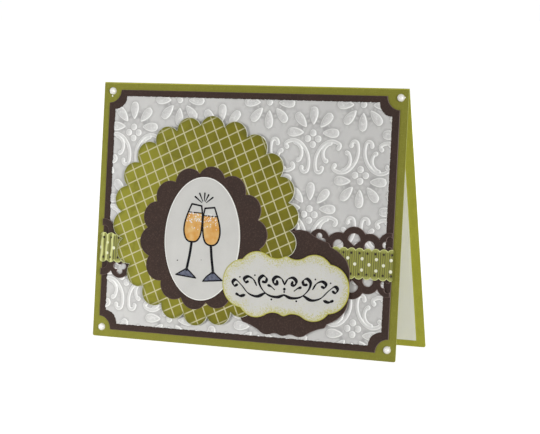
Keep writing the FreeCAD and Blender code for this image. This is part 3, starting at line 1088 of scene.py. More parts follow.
@dataclass
class DieCut:
    """A flat layer cut from sheet: a softly rounded upper edge, a cut wall and a flat back."""

    name: str
    loops: list[Loop]
    low: float
    slot: Slot
    face: Finish
    wall: Finish
    replaces: tuple[str, ...] = ()
    thickness: float = 0.3
    spacing: float = 2.4
    rings: tuple[float, ...] = (0.4, 0.9, 1.6)
    rounding: float = EDGE_ROUNDING
    loose: np.ndarray = field(default_factory=lambda: NO_POINTS)
    relief: Callable[[np.ndarray], tuple[np.ndarray, np.ndarray]] | None = None

    def inner_points(self) -> np.ndarray:
        """Rings of points that follow the edge, then a lattice over the rest.

        Returns:
            The points.
        """
        sets = []
        if self.rounding:
            sets.append((np.vstack([inset(loop, self.rounding) for loop in self.loops]), self.rounding * 0.8))
        for distance in self.rings:
            sets.append((np.vstack([inset(loop, distance)[::2] for loop in self.loops]), distance * 0.85))
        last = self.rings[-1] if self.rings else self.rounding
        sets.append((lattice_points(self.loops, self.spacing), last + self.spacing * 0.4))
        sets.append((self.loose, 0.2))
        kept = [NO_POINTS]
        for points, clear in sets:
            points = points[inside(points, self.loops)] if len(points) else points
            if len(points):
                kept.append(points[edge_distance(points, self.loops) > clear])
        return np.vstack(kept)

    def build(self, plane: Matrix) -> bpy.types.Object:
        """Cuts the layer.

        Args:
            plane: carries the drawing plane into place.

        Returns:
            The object.
        """
        def keep(middles: np.ndarray) -> np.ndarray:
            """Whether a triangle is in the sheet."""
            return inside(middles, self.loops)

        top = triangulate(self.loops, self.inner_points(), keep)
        back = triangulate(self.loops, NO_POINTS, keep)
        edge = edge_distance(top.points, self.loops)
        # A relief also gives burnish, painted highlight and painted shade for each point.
        rise, burnish_and_painted_light = self.relief(top.points) if self.relief else np.zeros((2, len(edge)))
        high = self.low + self.thickness + rise
        high -= np.where(edge < self.rounding * 0.5, self.rounding, 0.0)
        rim = np.unique(top.boundary)
        lower_of = {int(corner): len(edge) + k for k, corner in enumerate(rim)}
        corner_at = {tuple(np.round(top.points[corner], 3)): lower_of[int(corner)] for corner in rim}
        under_of, spare = [], []
        for number, point in enumerate(back.points):
            corner = corner_at.get(tuple(np.round(point, 3)))
            if corner is None:
                corner = len(edge) + len(rim) + len(spare)
                spare.append(number)
            under_of.append(corner)
        lower = np.vstack([top.points[rim], back.points[spare]])
        vertices = np.column_stack([np.vstack([top.points, lower]),
                                    np.append(high, np.full(len(lower), self.low))])
        walls = [(b, a, lower_of[int(a)], lower_of[int(b)]) for a, b in top.boundary]
        backs = [tuple(under_of[corner] for corner in face[::-1]) for face in back.triangles]
        faces = [*top.triangles, *walls, *backs]
        kinds = [0] * len(top.triangles) + [1] * len(walls) + [0] * len(backs)
        press = rise / max(rise.max(), MM)
        values = {name: np.append(found, np.zeros(len(lower)))
                  for name, found in (("edge", edge), ("relief", burnish_and_painted_light), ("press", press))}
        return Piece(self.name, self.slot, self.replaces).finish(vertices, faces, (self.face, self.wall),
                                                                 plane, kinds, values)


def film(plane: Matrix, name: str, loops: list[Loop], heights: Pair, finish: Finish) -> None:
    """Lays a thin film of ink or glaze.

    Args:
        plane: carries the drawing plane into place.
        name: the piece's name.
        loops: its outlines.
        heights: height of the surface under it, and its thickness.
        finish: what it is.
    """
    DieCut(name, loops, heights[0], Slot.WHITE, finish, finish, thickness=heights[1], rings=(),
           rounding=0.0, spacing=1.5).build(plane)


# Sub-assemblies


class FrontPlane:
    """The front panel's drawing plane, found from the back mount's direction and the mat's middle."""

    mat_middle_height = 0.5

    def __init__(self, record: dict) -> None:
        """Works out the plane's matrix.

        Args:
            record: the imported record.
        """
        mount = next(m for m in record["mounts"] if m["name"] == "back_face")
        _, across, up = mount["axis"]
        normal = Vector((0, -across, up))
        low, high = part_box("brown_mat")
        origin = (low + high) / 2 - normal * self.mat_middle_height * MM
        turn = turned_to(Vector((1, 0, 0)), Vector((0, up, across)), normal)
        self.matrix = Matrix.Translation(origin) @ turn


def turned_to(*columns: Vector) -> Matrix:
    """The turn that carries the three axes onto three directions."""
    return Matrix([[column[row] for column in columns] for row in range(3)]).to_4x4()


@dataclass
class Carried:
    """The CAD nodes that stay: folded sheet, liner, foam squares and tape strips."""

    sheets: tuple[tuple[str, tuple[Finish, ...]], ...] = (
        ("card_base", (OLIVE, OLIVE_EDGE, OLIVE_INSIDE_PAINTED_LIGHT)),
        ("inside_liner", (LINER, LINER_EDGE, LINER)),
    )
    foam: tuple[str, ...] = tuple([f"circle_foam_{n}" for n in range(1, 6)]
                                  + [f"label_foam_{n}" for n in range(1, 4)])
    tapes: tuple[str, ...] = ("mat_tape_upper", "mat_tape_lower")
    side_share: float = 0.9
    fold_height: float = 0.1

    def dress(self) -> None:
        """Gives the sheets their outside, cut edges and inner side, the olive one paler as painted light, and
        the rest one finish.
        """
        fixings = [(name, (FOAM,)) for name in self.foam] + [(name, (ADHESIVE,)) for name in self.tapes]
        for node, finishes in (*self.sheets, *fixings):
            mesh = frame["nodes"][node].data
            mesh.materials.clear()
            for finish in finishes:
                mesh.materials.append(shared(finish))
            for polygon in mesh.polygons if len(finishes) > 1 else ():
                normal, middle = polygon.normal, polygon.center
                endways = abs(normal.z) > self.side_share and middle.z < self.fold_height
                cut = abs(normal.x) > self.side_share or endways
                # Inner faces take the third finish: on the olive card, a paler copy as painted light.
                polygon.material_index = 1 if cut else 2 if normal.y * middle.y < 0 else 0
            log.info("%s: dressed", node)


@dataclass
class FocalStack:
    """Patterned scalloped circle, dark scalloped circle and white oval, one on the other."""

    circle_place: Pair = (-17.5, -2.6)
    circle_radii: Pair = (43.5, 39.6)
    circle_lobes: int = 22
    circle_phase: float = 95.35
    dark_place: Pair = (-17.4, -9.7)
    dark_radii: Pair = (29.8, 26.6)
    dark_lobes: int = 14
    dark_phase: float = 96.2
    oval_place: Pair = (-17.6, -10.0)
    oval_halves: Pair = (17.6, 25.45)
    lows: Triple = (2.4, 2.7, 3.0)

    def build(self, plane: Matrix) -> None:
        """Cuts the three layers.

        Args:
            plane: carries the drawing plane into place.
        """
        wide = scalloped(self.circle_radii, self.circle_lobes, self.circle_phase, self.circle_place)
        dark = scalloped(self.dark_radii, self.dark_lobes, self.dark_phase, self.dark_place)
        oval = circle(0, 0, 1, OUTLINE_STEP / self.oval_halves[1]) * self.oval_halves + self.oval_place
        DieCut("patterned_paper_circle", [wide], self.lows[0], Slot.PATTERNED, LATTICE, WHITE_EDGE,
               ("patterned_circle",)).build(plane)
        DieCut("dark_paper_circle", [dark], self.lows[1], Slot.BROWN, BROWN, BROWN_EDGE,
               ("dark_scalloped_circle",)).build(plane)
        DieCut("white_paper_oval", [oval], self.lows[2], Slot.WHITE, OVAL, WHITE_EDGE,
               ("oval_panel",)).build(plane)


@dataclass(frozen=True)
class Glass:
    """The lines of one glass: bowl sides from the rim down, the drink's level at each, stem and foot."""

    left: tuple[Pair, ...]
    right: tuple[Pair, ...]
    level: Pair
    stem: tuple[Pair, ...]
    foot: tuple[Pair, ...]
    flakes: int


@dataclass
class ToastPrint:
    """Stamped and coloured print on the oval: two plain sparkling-wine glasses leaning together."""

    surface: float = 3.3
    film: float = 0.03
    line: float = 0.36
    burst_widths: Pair = (0.16, 0.38)
    seed: int = 5
    upper: Triple = (-6.5, -3.0, 0.9)
    upper_share: float = 0.88
    glasses: tuple[Glass, ...] = (
        Glass(((-23.0, 4.2), (-24.6, 0.6), (-25.9, -3.4), (-26.2, -7.0), (-25.3, -9.9), (-23.9, -11.2),
               (-22.3, -11.5)),
              ((-18.4, 3.5), (-17.9, 0.0), (-17.9, -4.6), (-18.3, -8.2), (-19.4, -10.4), (-20.7, -11.3),
               (-22.3, -11.5)),
              (0.95, 0.75), ((-22.3, -11.6), (-22.9, -16.5), (-24.1, -23.0)),
              ((-24.1, -22.6), (-27.0, -24.2), (-29.0, -25.4), (-19.6, -26.3), (-22.0, -24.2)), 52),
        Glass(((-16.8, 2.6), (-17.4, -1.0), (-17.4, -5.4), (-16.9, -9.2), (-15.9, -11.4), (-14.6, -12.3),
               (-13.2, -12.6)),
              ((-12.3, 3.1), (-10.9, -0.4), (-9.6, -4.4), (-9.3, -8.0), (-10.1, -10.8), (-11.5, -12.2),
               (-13.2, -12.6)),
              (-0.2, -0.5), ((-13.2, -12.7), (-12.6, -17.5), (-11.6, -23.6)),
              ((-11.6, -23.2), (-14.6, -25.4), (-16.2, -27.4), (-7.2, -26.6), (-9.4, -25.0)), 44),
    )
    burst: tuple[tuple[Pair, Pair], ...] = (
        ((-18.4, 4.9), (-21.6, 7.2)), ((-18.0, 5.4), (-19.6, 8.6)), ((-17.3, 5.6), (-17.2, 8.8)),
        ((-16.8, 5.4), (-15.4, 8.2)), ((-16.4, 4.9), (-13.4, 7.2)),
    )
    specks: tuple[Triple, ...] = ((-28.6, -19.5, 0.26), (-17.4, -18.7, 0.13))

    def pen(self, points: Sequence[Pair], share: float = 1.0) -> Stroke:
        """A pen line of even width along a smooth path."""
        path = smooth_path(points, 0.25)
        return Stroke(path, np.full(len(path), self.line * share))

    def build(self, plane: Matrix) -> None:
        """Prints the drink, the feet, the outlines and the glitter.

        Args:
            plane: carries the drawing plane into place.
        """
        drinks, feet, lines = [], [], []
        for glass in self.glasses:
            sides = [smooth_path(side, 0.25) for side in (glass.left, glass.right)]
            left, right = [side[side[:, 1] < level] for side, level in zip(sides, glass.level)]
            drinks.append(closed([tuple(p) for p in np.vstack([left, right[::-1]])]))
            feet.append(closed(glass.foot))
            lines += [self.pen(glass.left), self.pen(glass.right), self.pen([glass.left[0], glass.right[0]]),
                      self.pen([tuple(left[0]), tuple(right[0])], 0.7), self.pen(glass.stem, 1.6)]
            lines += [self.pen(pair, 0.8) for pair in zip(glass.foot, glass.foot[1:] + glass.foot[:1])]
        for ends in self.burst:
            path = smooth_path(ends, 0.2)
            lines.append(Stroke(path, np.linspace(*self.burst_widths, len(path))))
        lines += [Stroke.dot(*speck, 0.05) for speck in self.specks]
        film(plane, "drink_print", drinks, (self.surface, self.film), DRINK)
        film(plane, "foot_print", feet, (self.surface, self.film), FOOT_INK)
        film(plane, "outline_print", stroke_area(lines), (self.surface, self.film * 1.6), INK)
        self.sprinkle(plane)

    def sprinkle(self, plane: Matrix) -> None:
        """Scatters glitter flakes about the drinks' upper third.

        Args:
            plane: carries the drawing plane into place.
        """
        draw = np.random.default_rng(self.seed)
        deep, low_y, high_y = self.upper
        vertices, faces = [], []
        for glass in self.glasses:
            left, right = np.array(glass.left), np.array(glass.right)
            for _ in range(glass.flakes):
                frothy = draw.random() < self.upper_share
                y = draw.uniform(low_y, high_y) if frothy else draw.uniform(deep, low_y)
                low = np.interp(-y, -left[:, 1], left[:, 0]) + 0.5
                high = np.interp(-y, -right[:, 1], right[:, 0]) - 0.5
                x, size, turn = draw.uniform(low, high), draw.uniform(0.14, 0.3), draw.uniform(0, 60)
                tilt = draw.uniform(-0.05, 0.05, 2)
                first = len(vertices)
                for level in (0, 1):
                    for dx, dy in [polar(size, turn + 60 * corner) for corner in range(6)]:
                        height = self.surface + self.film + level * (0.06 + dx * tilt[0] + dy * tilt[1])
                        vertices.append((x + dx, y + dy, height))
                faces += [range(first + 6, first + 12), range(first + 5, first - 1, -1)]
                faces += [(first + k, first + (k + 1) % 6, first + 6 + (k + 1) % 6, first + 6 + k)
                          for k in range(6)]
        Piece("glitter_flakes", Slot.WHITE).finish(np.array(vertices), faces, (GLITTER,), plane, sharp=20.0)


@dataclass
class SentimentLabel:
    """Dark label, and above it the white label with sponged edges and a pen flourish."""

    dark_place: Pair = (21.0, -25.6)
    dark_start: Pair = (0.0, 21.6)
    dark_quarter: tuple[tuple[Pair, Pair], ...] = (
        ((1.0, 21.45), (1.8, 21.15)), ((3.6, 20.75), (5.4, 21.15)), ((7.5, 21.5), (10.5, 20.3)),
        ((14.2, 18.4), (18.4, 17.1)), ((18.95, 16.4), (19.4, 15.5)), ((23.1, 13.6), (26.3, 10.9)),
        ((27.9, 7.8), (28.4, 4.0)), ((28.5, 2.0), (28.5, 0.0)),
    )
    place: Pair = (21.6, -27.0)
    start: Pair = (0.0, 12.1)
    quarter: tuple[tuple[Pair, Pair], ...] = (
        ((0.9, 11.9), (1.7, 11.5)), ((4.6, 11.0), (8.2, 12.0)), ((14.2, 13.3), (19.7, 9.9)),
        ((25.9, 6.9), (28.4, 0.0)),
    )
    dark_low: float = 2.1
    low: float = 3.3
    ink: Pair = (3.6, 0.04)
    flourish_place: Pair = (21.5, -27.3)
    pen_angle: float = 40.0
    pen_widths: Pair = (0.2, 0.72)
    end_half: float = 0.55
    flourish: tuple[tuple[Pair, ...], ...] = (
        ((0.0, -3.2), (3.2, -4.3), (7.4, -3.6), (10.6, -0.8), (11.6, 2.2), (9.9, 3.9), (8.2, 2.9), (8.6, 1.4),
         (9.8, 1.5)),
        ((0.0, 0.9), (1.4, 3.2), (3.6, 3.9), (5.2, 2.6), (4.6, 0.9), (3.2, 1.2), (3.5, 2.1)),
        ((8.6, -3.0), (12.2, -4.6), (16.2, -3.6), (19.4, -0.6), (22.2, 1.5), (23.6, 0.5), (22.8, -1.0),
         (21.6, -0.5)),
        ((12.6, -0.2), (14.2, 2.2), (16.6, 3.2), (18.4, 2.2), (17.8, 0.8), (16.7, 1.1)),
        ((4.4, -1.4), (6.0, -0.2), (7.2, 0.2)),
        ((17.8, -4.4), (19.8, -4.9), (21.6, -4.2)),
    )
    dots: tuple[Triple, ...] = ((0.0, -0.9, 0.62), (0.0, -2.0, 0.4), (5.6, -5.4, 0.42), (13.6, 3.9, 0.36),
                                (20.4, 2.8, 0.34))

    def build(self, plane: Matrix) -> None:
        """Cuts both labels and inks the flourish.

        Args:
            plane: carries the drawing plane into place.
        """
        dark = mirrored_quarters(self.dark_start, self.dark_quarter, self.dark_place)
        DieCut("dark_paper_label", [dark], self.dark_low, Slot.BROWN, BROWN, BROWN_EDGE,
               ("label_mat",)).build(plane)
        white = mirrored_quarters(self.start, self.quarter, self.place)
        DieCut("sponged_paper_label", [white], self.low, Slot.WHITE, SPONGED, SPONGED_EDGE,
               ("sentiment_label",), spacing=1.6, rings=(0.4, 0.9, 1.5, 2.3)).build(plane)
        film(plane, "flourish_print", stroke_area(self.strokes()), self.ink, INK)

    def strokes(self) -> list[Stroke]:
        """The flourish's pen strokes and dots, mirrored about its middle.

        Returns:
            The strokes.
        """
        found = []
        middle_x, middle_y = self.flourish_place
        for side in (1, -1):
            for points in self.flourish:
                found.append(self.pen([(middle_x + side * x, middle_y + y) for x, y in points], side))
            found += [Stroke.dot(middle_x + side * x, middle_y + y, radius) for x, y, radius in self.dots]
        return found

    def pen(self, points: Sequence[Pair], side: int) -> Stroke:
        """A broad-nib stroke: thick where it runs across the nib, thin along it and at its ends.

        Args:
            points: what the stroke passes.
            side: 1, or -1 for a stroke that is mirrored.

        Returns:
            The stroke.
        """
        path = smooth_path(points, 0.2)
        normals = left_normals(path)
        heading = np.arctan2(-normals[:, 0] * side, normals[:, 1])
        across = np.abs(np.sin(heading - math.radians(self.pen_angle)))
        share = np.linspace(0, 1, len(path))
        taper = np.minimum(1.0, np.minimum(share, 1 - share) * 6 + 0.35)
        thin, thick = self.pen_widths
        halves = thin + (thick - thin) * across * taper
        halves[-4:] = np.maximum(halves[-4:], self.end_half)
        return Stroke(path, halves)


@dataclass
class EmbossedFront:
    """Dark mat and the white panel pressed with a common pattern of petals, beads and scrolls."""

    mat_size: Pair = (133.35, 101.6)
    panel_size: Pair = (127.0, 96.2)
    ticket_radius: float = 5.5
    mat_low: float = 0.35
    panel_low: float = 0.65
    relief_height: float = 0.5
    slope_depths: Pair = (-0.16, 0.34)
    narrow: float = 1.4
    rough_edge: float = 0.14
    pitch: Pair = (41.8, 30.5)
    lattices: tuple[tuple[float, float, int], ...] = ((29.65, 32.9, 1), (51.25, 19.0, -1))
    petals: tuple[Triple, ...] = ((0.0, 9.4, 90.0), (5.6, 7.5, 48.0), (7.9, 2.5, 0.0), (-5.6, 7.5, 132.0),
                                  (-7.9, 2.5, 180.0))
    petal_half: Pair = (3.6, 1.8)
    bead_ring: float = 2.35
    bead_radius: float = 1.3
    scroll_drop: float = 7.0
    ball_growth: float = 0.22
    scroll_half: float = 0.66
    scroll: tuple = ((4.5, -4.7), 283.0, ((-1.4, 177.0), (-9.8, 68.0), (-5.5, 73.0), (-0.95, 128.0)))
    branch: tuple = ((8.0, 5.3), 194.0, ((4.3, 112.0), (0.85, 60.0)))
    ring_depths: tuple[float, ...] = (-0.46, -0.24, 0.02, 0.34)
    spread: Pair = (16.0, 1.2)
    dome_share: float = 0.12
    crown_depth: float = 0.4
    # Painted highlight on crowns and burnished slopes, painted shade at the foot.
    crown_highlight: float = 0.15
    burnish_highlight_band: Pair = (0.08, 0.24)
    foot_shade_band: Pair = (-0.3, 0.16)
    foot_shade_strength: float = 0.8

    def turned_path(self, start: Pair, heading: float, turns: Sequence[Pair]) -> np.ndarray:
        """A path along tangent arcs.

        Args:
            start: its first point.
            heading: its first direction in degrees.
            turns: each arc's signed radius, left positive, and its sweep.

        Returns:
            Points along the path.
        """
        points = [np.array(start)]
        for radius, sweep in turns:
            steps = max(2, math.ceil(math.radians(sweep) * abs(radius) / OUTLINE_STEP))
            for _ in range(steps):
                turn = math.copysign(sweep / steps, radius)
                chord = 2 * abs(radius) * math.sin(math.radians(sweep / steps / 2))
                points.append(points[-1] + np.array(polar(chord, heading + turn / 2)))
                heading += turn
        return np.array(points)

    def motif(self) -> list[Stroke]:
        """The raised shapes of one upright motif round its middle.

        Returns:
            The shapes.
        """
        half_length, half_width = self.petal_half
        stations = np.array([-0.9, -0.5, 0.0, 0.25, 0.5]) * half_length
        halves = np.array([0.2, 0.62, 0.94, 1.0, 0.93]) * half_width
        spine = np.linspace(stations[0], half_length - 1.75, 16)
        radii = np.minimum(np.interp(spine, stations, halves), half_length - np.abs(spine) + 0.02)
        shapes = [Stroke(np.array([x, y]) + spine[:, None] * np.array(polar(1.0, tilt)), radii)
                  for x, y, tilt in self.petals]
        shapes += [Stroke.dot(*polar(self.bead_ring, quarter * 90), self.bead_radius, 0.02)
                   for quarter in range(4)]
        for curve in (self.scroll, self.branch):
            path = self.turned_path(*curve) - (0, self.scroll_drop)
            ends = np.exp(-np.arange(len(path)) / 2.0)
            balls = ends[::-1] if curve is self.branch else ends + ends[::-1]
            half = self.scroll_half + self.ball_growth * balls
            shapes += [Stroke(path, half), Stroke(path * (-1, 1), half)]
        return shapes

    def shapes(self, hidden: Callable[[np.ndarray], bool]) -> list[Stroke]:
        """Every raised shape that shows or carries foam.

        Args:
            hidden: says whether a shape's path lies wholly under other layers.

        Returns:
            The shapes, in place on the panel.
        """
        found = []
        reach = np.array(self.panel_size) / 2 + self.spread[0]
        for *first, side in self.lattices:
            for cell in np.ndindex(9, 11):
                place = np.array(first) + (np.array(cell) - (4, 5)) * self.pitch
                if np.any(np.abs(place) > reach):
                    continue
                for shape in self.motif():
                    path = shape.path * (1, side) + place
                    if not hidden(path):
                        found.append(Stroke(path, shape.half_widths))
        return found

    def build(self, plane: Matrix, hidden: Callable[[np.ndarray], bool]) -> None:
        """Cuts the mat, then presses and cuts the panel.

        Args:
            plane: carries the drawing plane into place.
            hidden: says whether a shape's path lies wholly under other layers.
        """
        mat = ticket(*self.mat_size, self.ticket_radius)
        DieCut("dark_paper_mat", [mat], self.mat_low, Slot.BROWN, BROWN, BROWN_EDGE, ("brown_mat",),
               spacing=4.0).build(plane)
        raised = self.shapes(hidden)

        def press(points: np.ndarray) -> tuple[np.ndarray, np.ndarray]:
            """Height of the pressed pattern at each point, and its painted light: burnish and highlight on
            slopes and crowns, shade at the foot.

            Args:
                points: places on the panel.

            Returns:
                The heights, and values above 0 for burnish and painted highlight on slopes and crowns, below
                0 for painted shade at a foot.
            """
            depth, crown = np.full(len(points), -9.0), np.zeros(len(points))
            for shape in raised:
                margin = shape.half_widths.max() + self.spread[1]
                low, high = shape.path.min(0) - margin, shape.path.max(0) + margin
                near = np.flatnonzero(np.all((points > low) & (points < high), axis=1))
                found = shape.depth(points[near])
                depth[near] = np.maximum(depth[near], found)
                if shape.half_widths.max() < self.narrow:
                    crown[near] = np.maximum(crown[near], np.clip(found / self.crown_depth, 0, 1))
            low, high = self.slope_depths
            share = np.clip((depth - low) / (high - low), 0, 1)
            flank, dome = share ** 2 * (3 - 2 * share), np.clip(depth / 2, 0, 1)
            rise = self.relief_height * ((1 - self.dome_share) * flank + self.dome_share * dome)
            # Painted highlight on the slopes and narrow crowns, painted shade at the foot.
            burnish_highlight, foot = [np.exp(-((depth - middle) / width) ** 2)
                           for middle, width in (self.burnish_highlight_band, self.foot_shade_band)]
            return rise, np.maximum(burnish_highlight, self.crown_highlight * crown) - self.foot_shade_strength * foot

        edge = ticket(*self.panel_size, self.ticket_radius)
        place = np.arange(len(edge))
        wobble = np.sin(place * 0.9) * np.sin(place * 0.37 + 1.0) + 0.5 * np.sin(place * 2.3)
        edge = edge - (inset(edge, 1.0) - edge) * (self.rough_edge * np.maximum(wobble, -0.3))[:, None]
        loose = [points for shape in raised
                 for points in (*[shape.contour(depth) for depth in self.ring_depths], shape.path)]
        DieCut("embossed_paper_panel", [edge], self.panel_low, Slot.EMBOSSED, EMBOSSED, WHITE_EDGE,
               ("embossed_panel",), spacing=2.0, rings=(0.5, 1.2), loose=np.vstack(loose),
               relief=press).build(plane)


@dataclass
class PunchedStrip:
    """Dark strip with scalloped edges and three kinds of punched hole."""

    y: float = -15.9
    low: float = 1.45
    width: float = 133.35
    band: float = 8.0
    pitch: float = 30.7
    phase: float = 19.55
    big: Pair = (9.1, 5.4)
    side: Triple = (6.8, 6.8, 5.2)
    small: Pair = (8.2, 4.6)
    shield: Pair = (2.7, 2.2)
    side_hole: float = 2.25
    clover_radius: float = 1.35
    clover: tuple[Pair, ...] = ((0, 9.8), (0, 8.45), (1.7, 7.8), (-1.7, 7.8))

    def shield_hole(self, x: float, side: int) -> Loop:
        """A round-topped hole that comes to a point towards the strip's middle.

        Args:
            x: its place along the strip.
            side: 1 at the upper edge, -1 at the lower.

        Returns:
            The outline.
        """
        radius, point = self.shield
        base, top, tip = [side * (self.big[0] + rise) for rise in (0, radius, -point)]
        return closed(arc_points((x - radius, base), (x, top), (x + radius, base))
                      + [(x + radius, base), (x, tip)])

    def build(self, plane: Matrix) -> None:
        """Punches the strip and cuts it flush with the mat's sides.

        Args:
            plane: carries the drawing plane into place.
        """
        lobes, holes = [rectangle(self.width, 2 * self.band)], []
        side_x, side_y, side_radius = self.side
        for unit in range(-3, 3):
            big_x = self.phase + unit * self.pitch
            small_x = big_x + self.pitch / 2
            for side in (1, -1):
                lobes.append(circle(big_x, side * self.big[0], self.big[1]))
                lobes.append(circle(small_x, side * self.small[0], self.small[1]))
                holes.append(self.shield_hole(big_x, side))
                holes += [circle(small_x + x, side * y, self.clover_radius) for x, y in self.clover]
                for x in (big_x - side_x, big_x + side_x):
                    lobes.append(circle(x, side * side_y, side_radius))
                    holes.append(circle(x, side * side_y, self.side_hole))
        ends = rectangle(self.width, 4 * self.band)
        loops = [loop + (0, self.y) for loop in joined(lobes, holes, ends)]
        DieCut("punched_paper_strip", loops, self.low, Slot.BROWN, BROWN, BROWN_EDGE, ("punched_strip",),
               spacing=1.6, rings=(0.4, 0.9)).build(plane)


@dataclass
class DottedRibbon:
    """Grosgrain ribbon with looped edges, wrapped round the mat with its ends tucked behind."""

    y: float = -16.0
    half_front: float = 66.825
    top: float = 2.1
    thickness: float = 0.35
    bend: float = 0.5
    tail: float = 14.5
    body: float = 10.7
    picot: Triple = (3.48, 0.9, 2.6)
    eyelet: Pair = (4.17, 0.42)
    rib: Pair = (0.95, 0.07)
    gathers: tuple[Triple, ...] = ((-66.0, 0.5, 0.6), (-63.7, 0.62, 0.62), (-61.2, 0.4, 0.6))
    gather_end: float = -60.2

    def outline(self, half_length: float) -> Loop:
        """The flat ribbon's outline: looped long edges and straight cut ends.

        Args:
            half_length: half of the flat ribbon's length.

        Returns:
            The outline.
        """
        pitch, depth, phase = self.picot
        half = self.body / 2
        first = math.ceil((-half_length - phase) / pitch)
        last = math.floor((half_length - phase) / pitch)
        valleys = [phase + k * pitch for k in range(first, last + 1)]
        points = [(half_length, -half), (half_length, half)]
        for side, run in ((1, valleys[::-1]), (-1, valleys)):
            for start, end in zip(run, run[1:]):
                points += arc_points((start, side * half), ((start + end) / 2, side * (half + depth)),
                                     (end, side * half), 0.3)
            points.append((run[-1], side * half))
            if side == 1:
                points += [(-half_length, half), (-half_length, -half)]
        return closed(points, 0.4)

    def wrap(self, along: np.ndarray, height: np.ndarray) -> tuple[np.ndarray, np.ndarray]:
        """Carries places along the flat ribbon onto its wrapped path.

        Args:
            along: distance from the ribbon's middle.
            height: distance out from the ribbon's own middle layer.

        Returns:
            The points' x and z in the drawing plane.
        """
        bend, run = self.bend - self.thickness / 2, np.abs(along)
        quarter = bend * math.pi / 2
        ends = np.cumsum([self.half_front, quarter, self.top - 2 * self.bend, quarter])
        reach = bend + height
        first, second = (run - ends[0]) / bend, (run - ends[2]) / bend
        parts = [run <= end for end in ends]
        x = np.select(parts, [run, self.half_front + reach * np.sin(first), self.half_front + reach,
                              self.half_front + reach * np.cos(second)], self.half_front - (run - ends[3]))
        z = np.select(parts, [self.top - self.thickness / 2 + height,
                              self.top - self.bend + reach * np.cos(first),
                              self.top - self.bend - (run - ends[1]), self.bend - reach * np.sin(second)],
                      self.thickness / 2 - height)
        return np.sign(along) * x, z

    def weave(self, half_length: float) -> tuple[Area, Loop]:
        """The flat ribbon's area with its stitch holes, and its outline.

        Args:
            half_length: half of the flat ribbon's length.

        Returns:
            The area and the outline.
        """
        outline = self.outline(half_length)
        pitch, _, phase = self.picot
        row, radius = self.eyelet
        count = math.ceil(half_length / pitch)
        places = [phase + (k + 0.5) * pitch for k in range(-count, count)]
        eyelets = [circle(x, side * row, radius, 0.16)[::-1]
                   for x in places for side in (1, -1) if abs(x) < half_length - 1]
        ribs = np.arange(-half_length + 0.2, half_length - 0.2, self.rib[0] / 6)
        rows = np.concatenate([np.linspace(-5.2, 5.2, 19), (-5.75, 5.75)])
        loose = np.stack(np.meshgrid(ribs, rows), axis=-1).reshape(-1, 2)
        loose = loose[inside(loose, [outline])]
        loose = loose[edge_distance(loose, [outline]) > 0.12]

        def eyelet_gap(points: np.ndarray) -> np.ndarray:
            """Distance of each point from the nearest stitch hole's middle."""
            return np.hypot((points[:, 0] - phase) % pitch - pitch / 2, np.abs(points[:, 1]) - row)

        def keep(middles: np.ndarray) -> np.ndarray:
            """Whether a triangle is in the ribbon and in no stitch hole."""
            return inside(middles, [outline]) & (eyelet_gap(middles) > radius)

        return triangulate([outline] + eyelets, loose[eyelet_gap(loose) > radius + 0.08], keep), outline

    def build(self, plane: Matrix) -> None:
        """Weaves the ribbon flat, then wraps it.

        Args:
            plane: carries the drawing plane into place.
        """
        bend = self.bend - self.thickness / 2
        half_length = self.half_front + math.pi * bend + self.top - 2 * self.bend + self.tail
        area, outline = self.weave(half_length)
        along, across = area.points.T
        edge = edge_distance(area.points, [outline])
        body = np.clip((self.body / 2 - 0.4 - np.abs(across)) / 0.3, 0, 1)
        wave = self.rib[1] * body * np.cos(math.tau * along / self.rib[0])
        thin = self.thickness / 2 - self.rib[1] - 0.08 * np.clip(1 - edge / 0.25, 0, 1)
        # Painted light: highlight on the gathers' crests, painted shade in the valleys of the gathered end.
        gather, fold_light = np.zeros((2, len(along)))
        for x, height, width in self.gathers:
            slant = 0.04 * across + 0.12 * np.sin(across * 0.9 + x)
            bump = np.exp(-((along - x - slant) / width) ** 2)
            gather += height * bump
            fold_light += 1.9 * bump
        fold_light -= 0.55 * ((along < self.gather_end) & (along > -self.half_front))
        vertices = []
        for height in (thin + wave, -thin):
            x, z = self.wrap(along, height)
            vertices.append(np.column_stack([x, across + self.y, z + gather]))
        size = len(along)
        faces = [*area.triangles, *(area.triangles[:, ::-1] + size)]
        faces += [(b, a, a + size, b + size) for a, b in area.boundary]
        values = {name: np.tile(found, 2) for name, found in (("along", along), ("across", across),
                                                               ("edge", edge), ("fold_light", fold_light))}
        ribbon = Piece("woven_ribbon", Slot.RIBBON, ("dotted_ribbon",)).finish(
            np.vstack(vertices), faces, (RIBBON,), plane, attributes=values)
        width = self.body + 2 * self.picot[1]


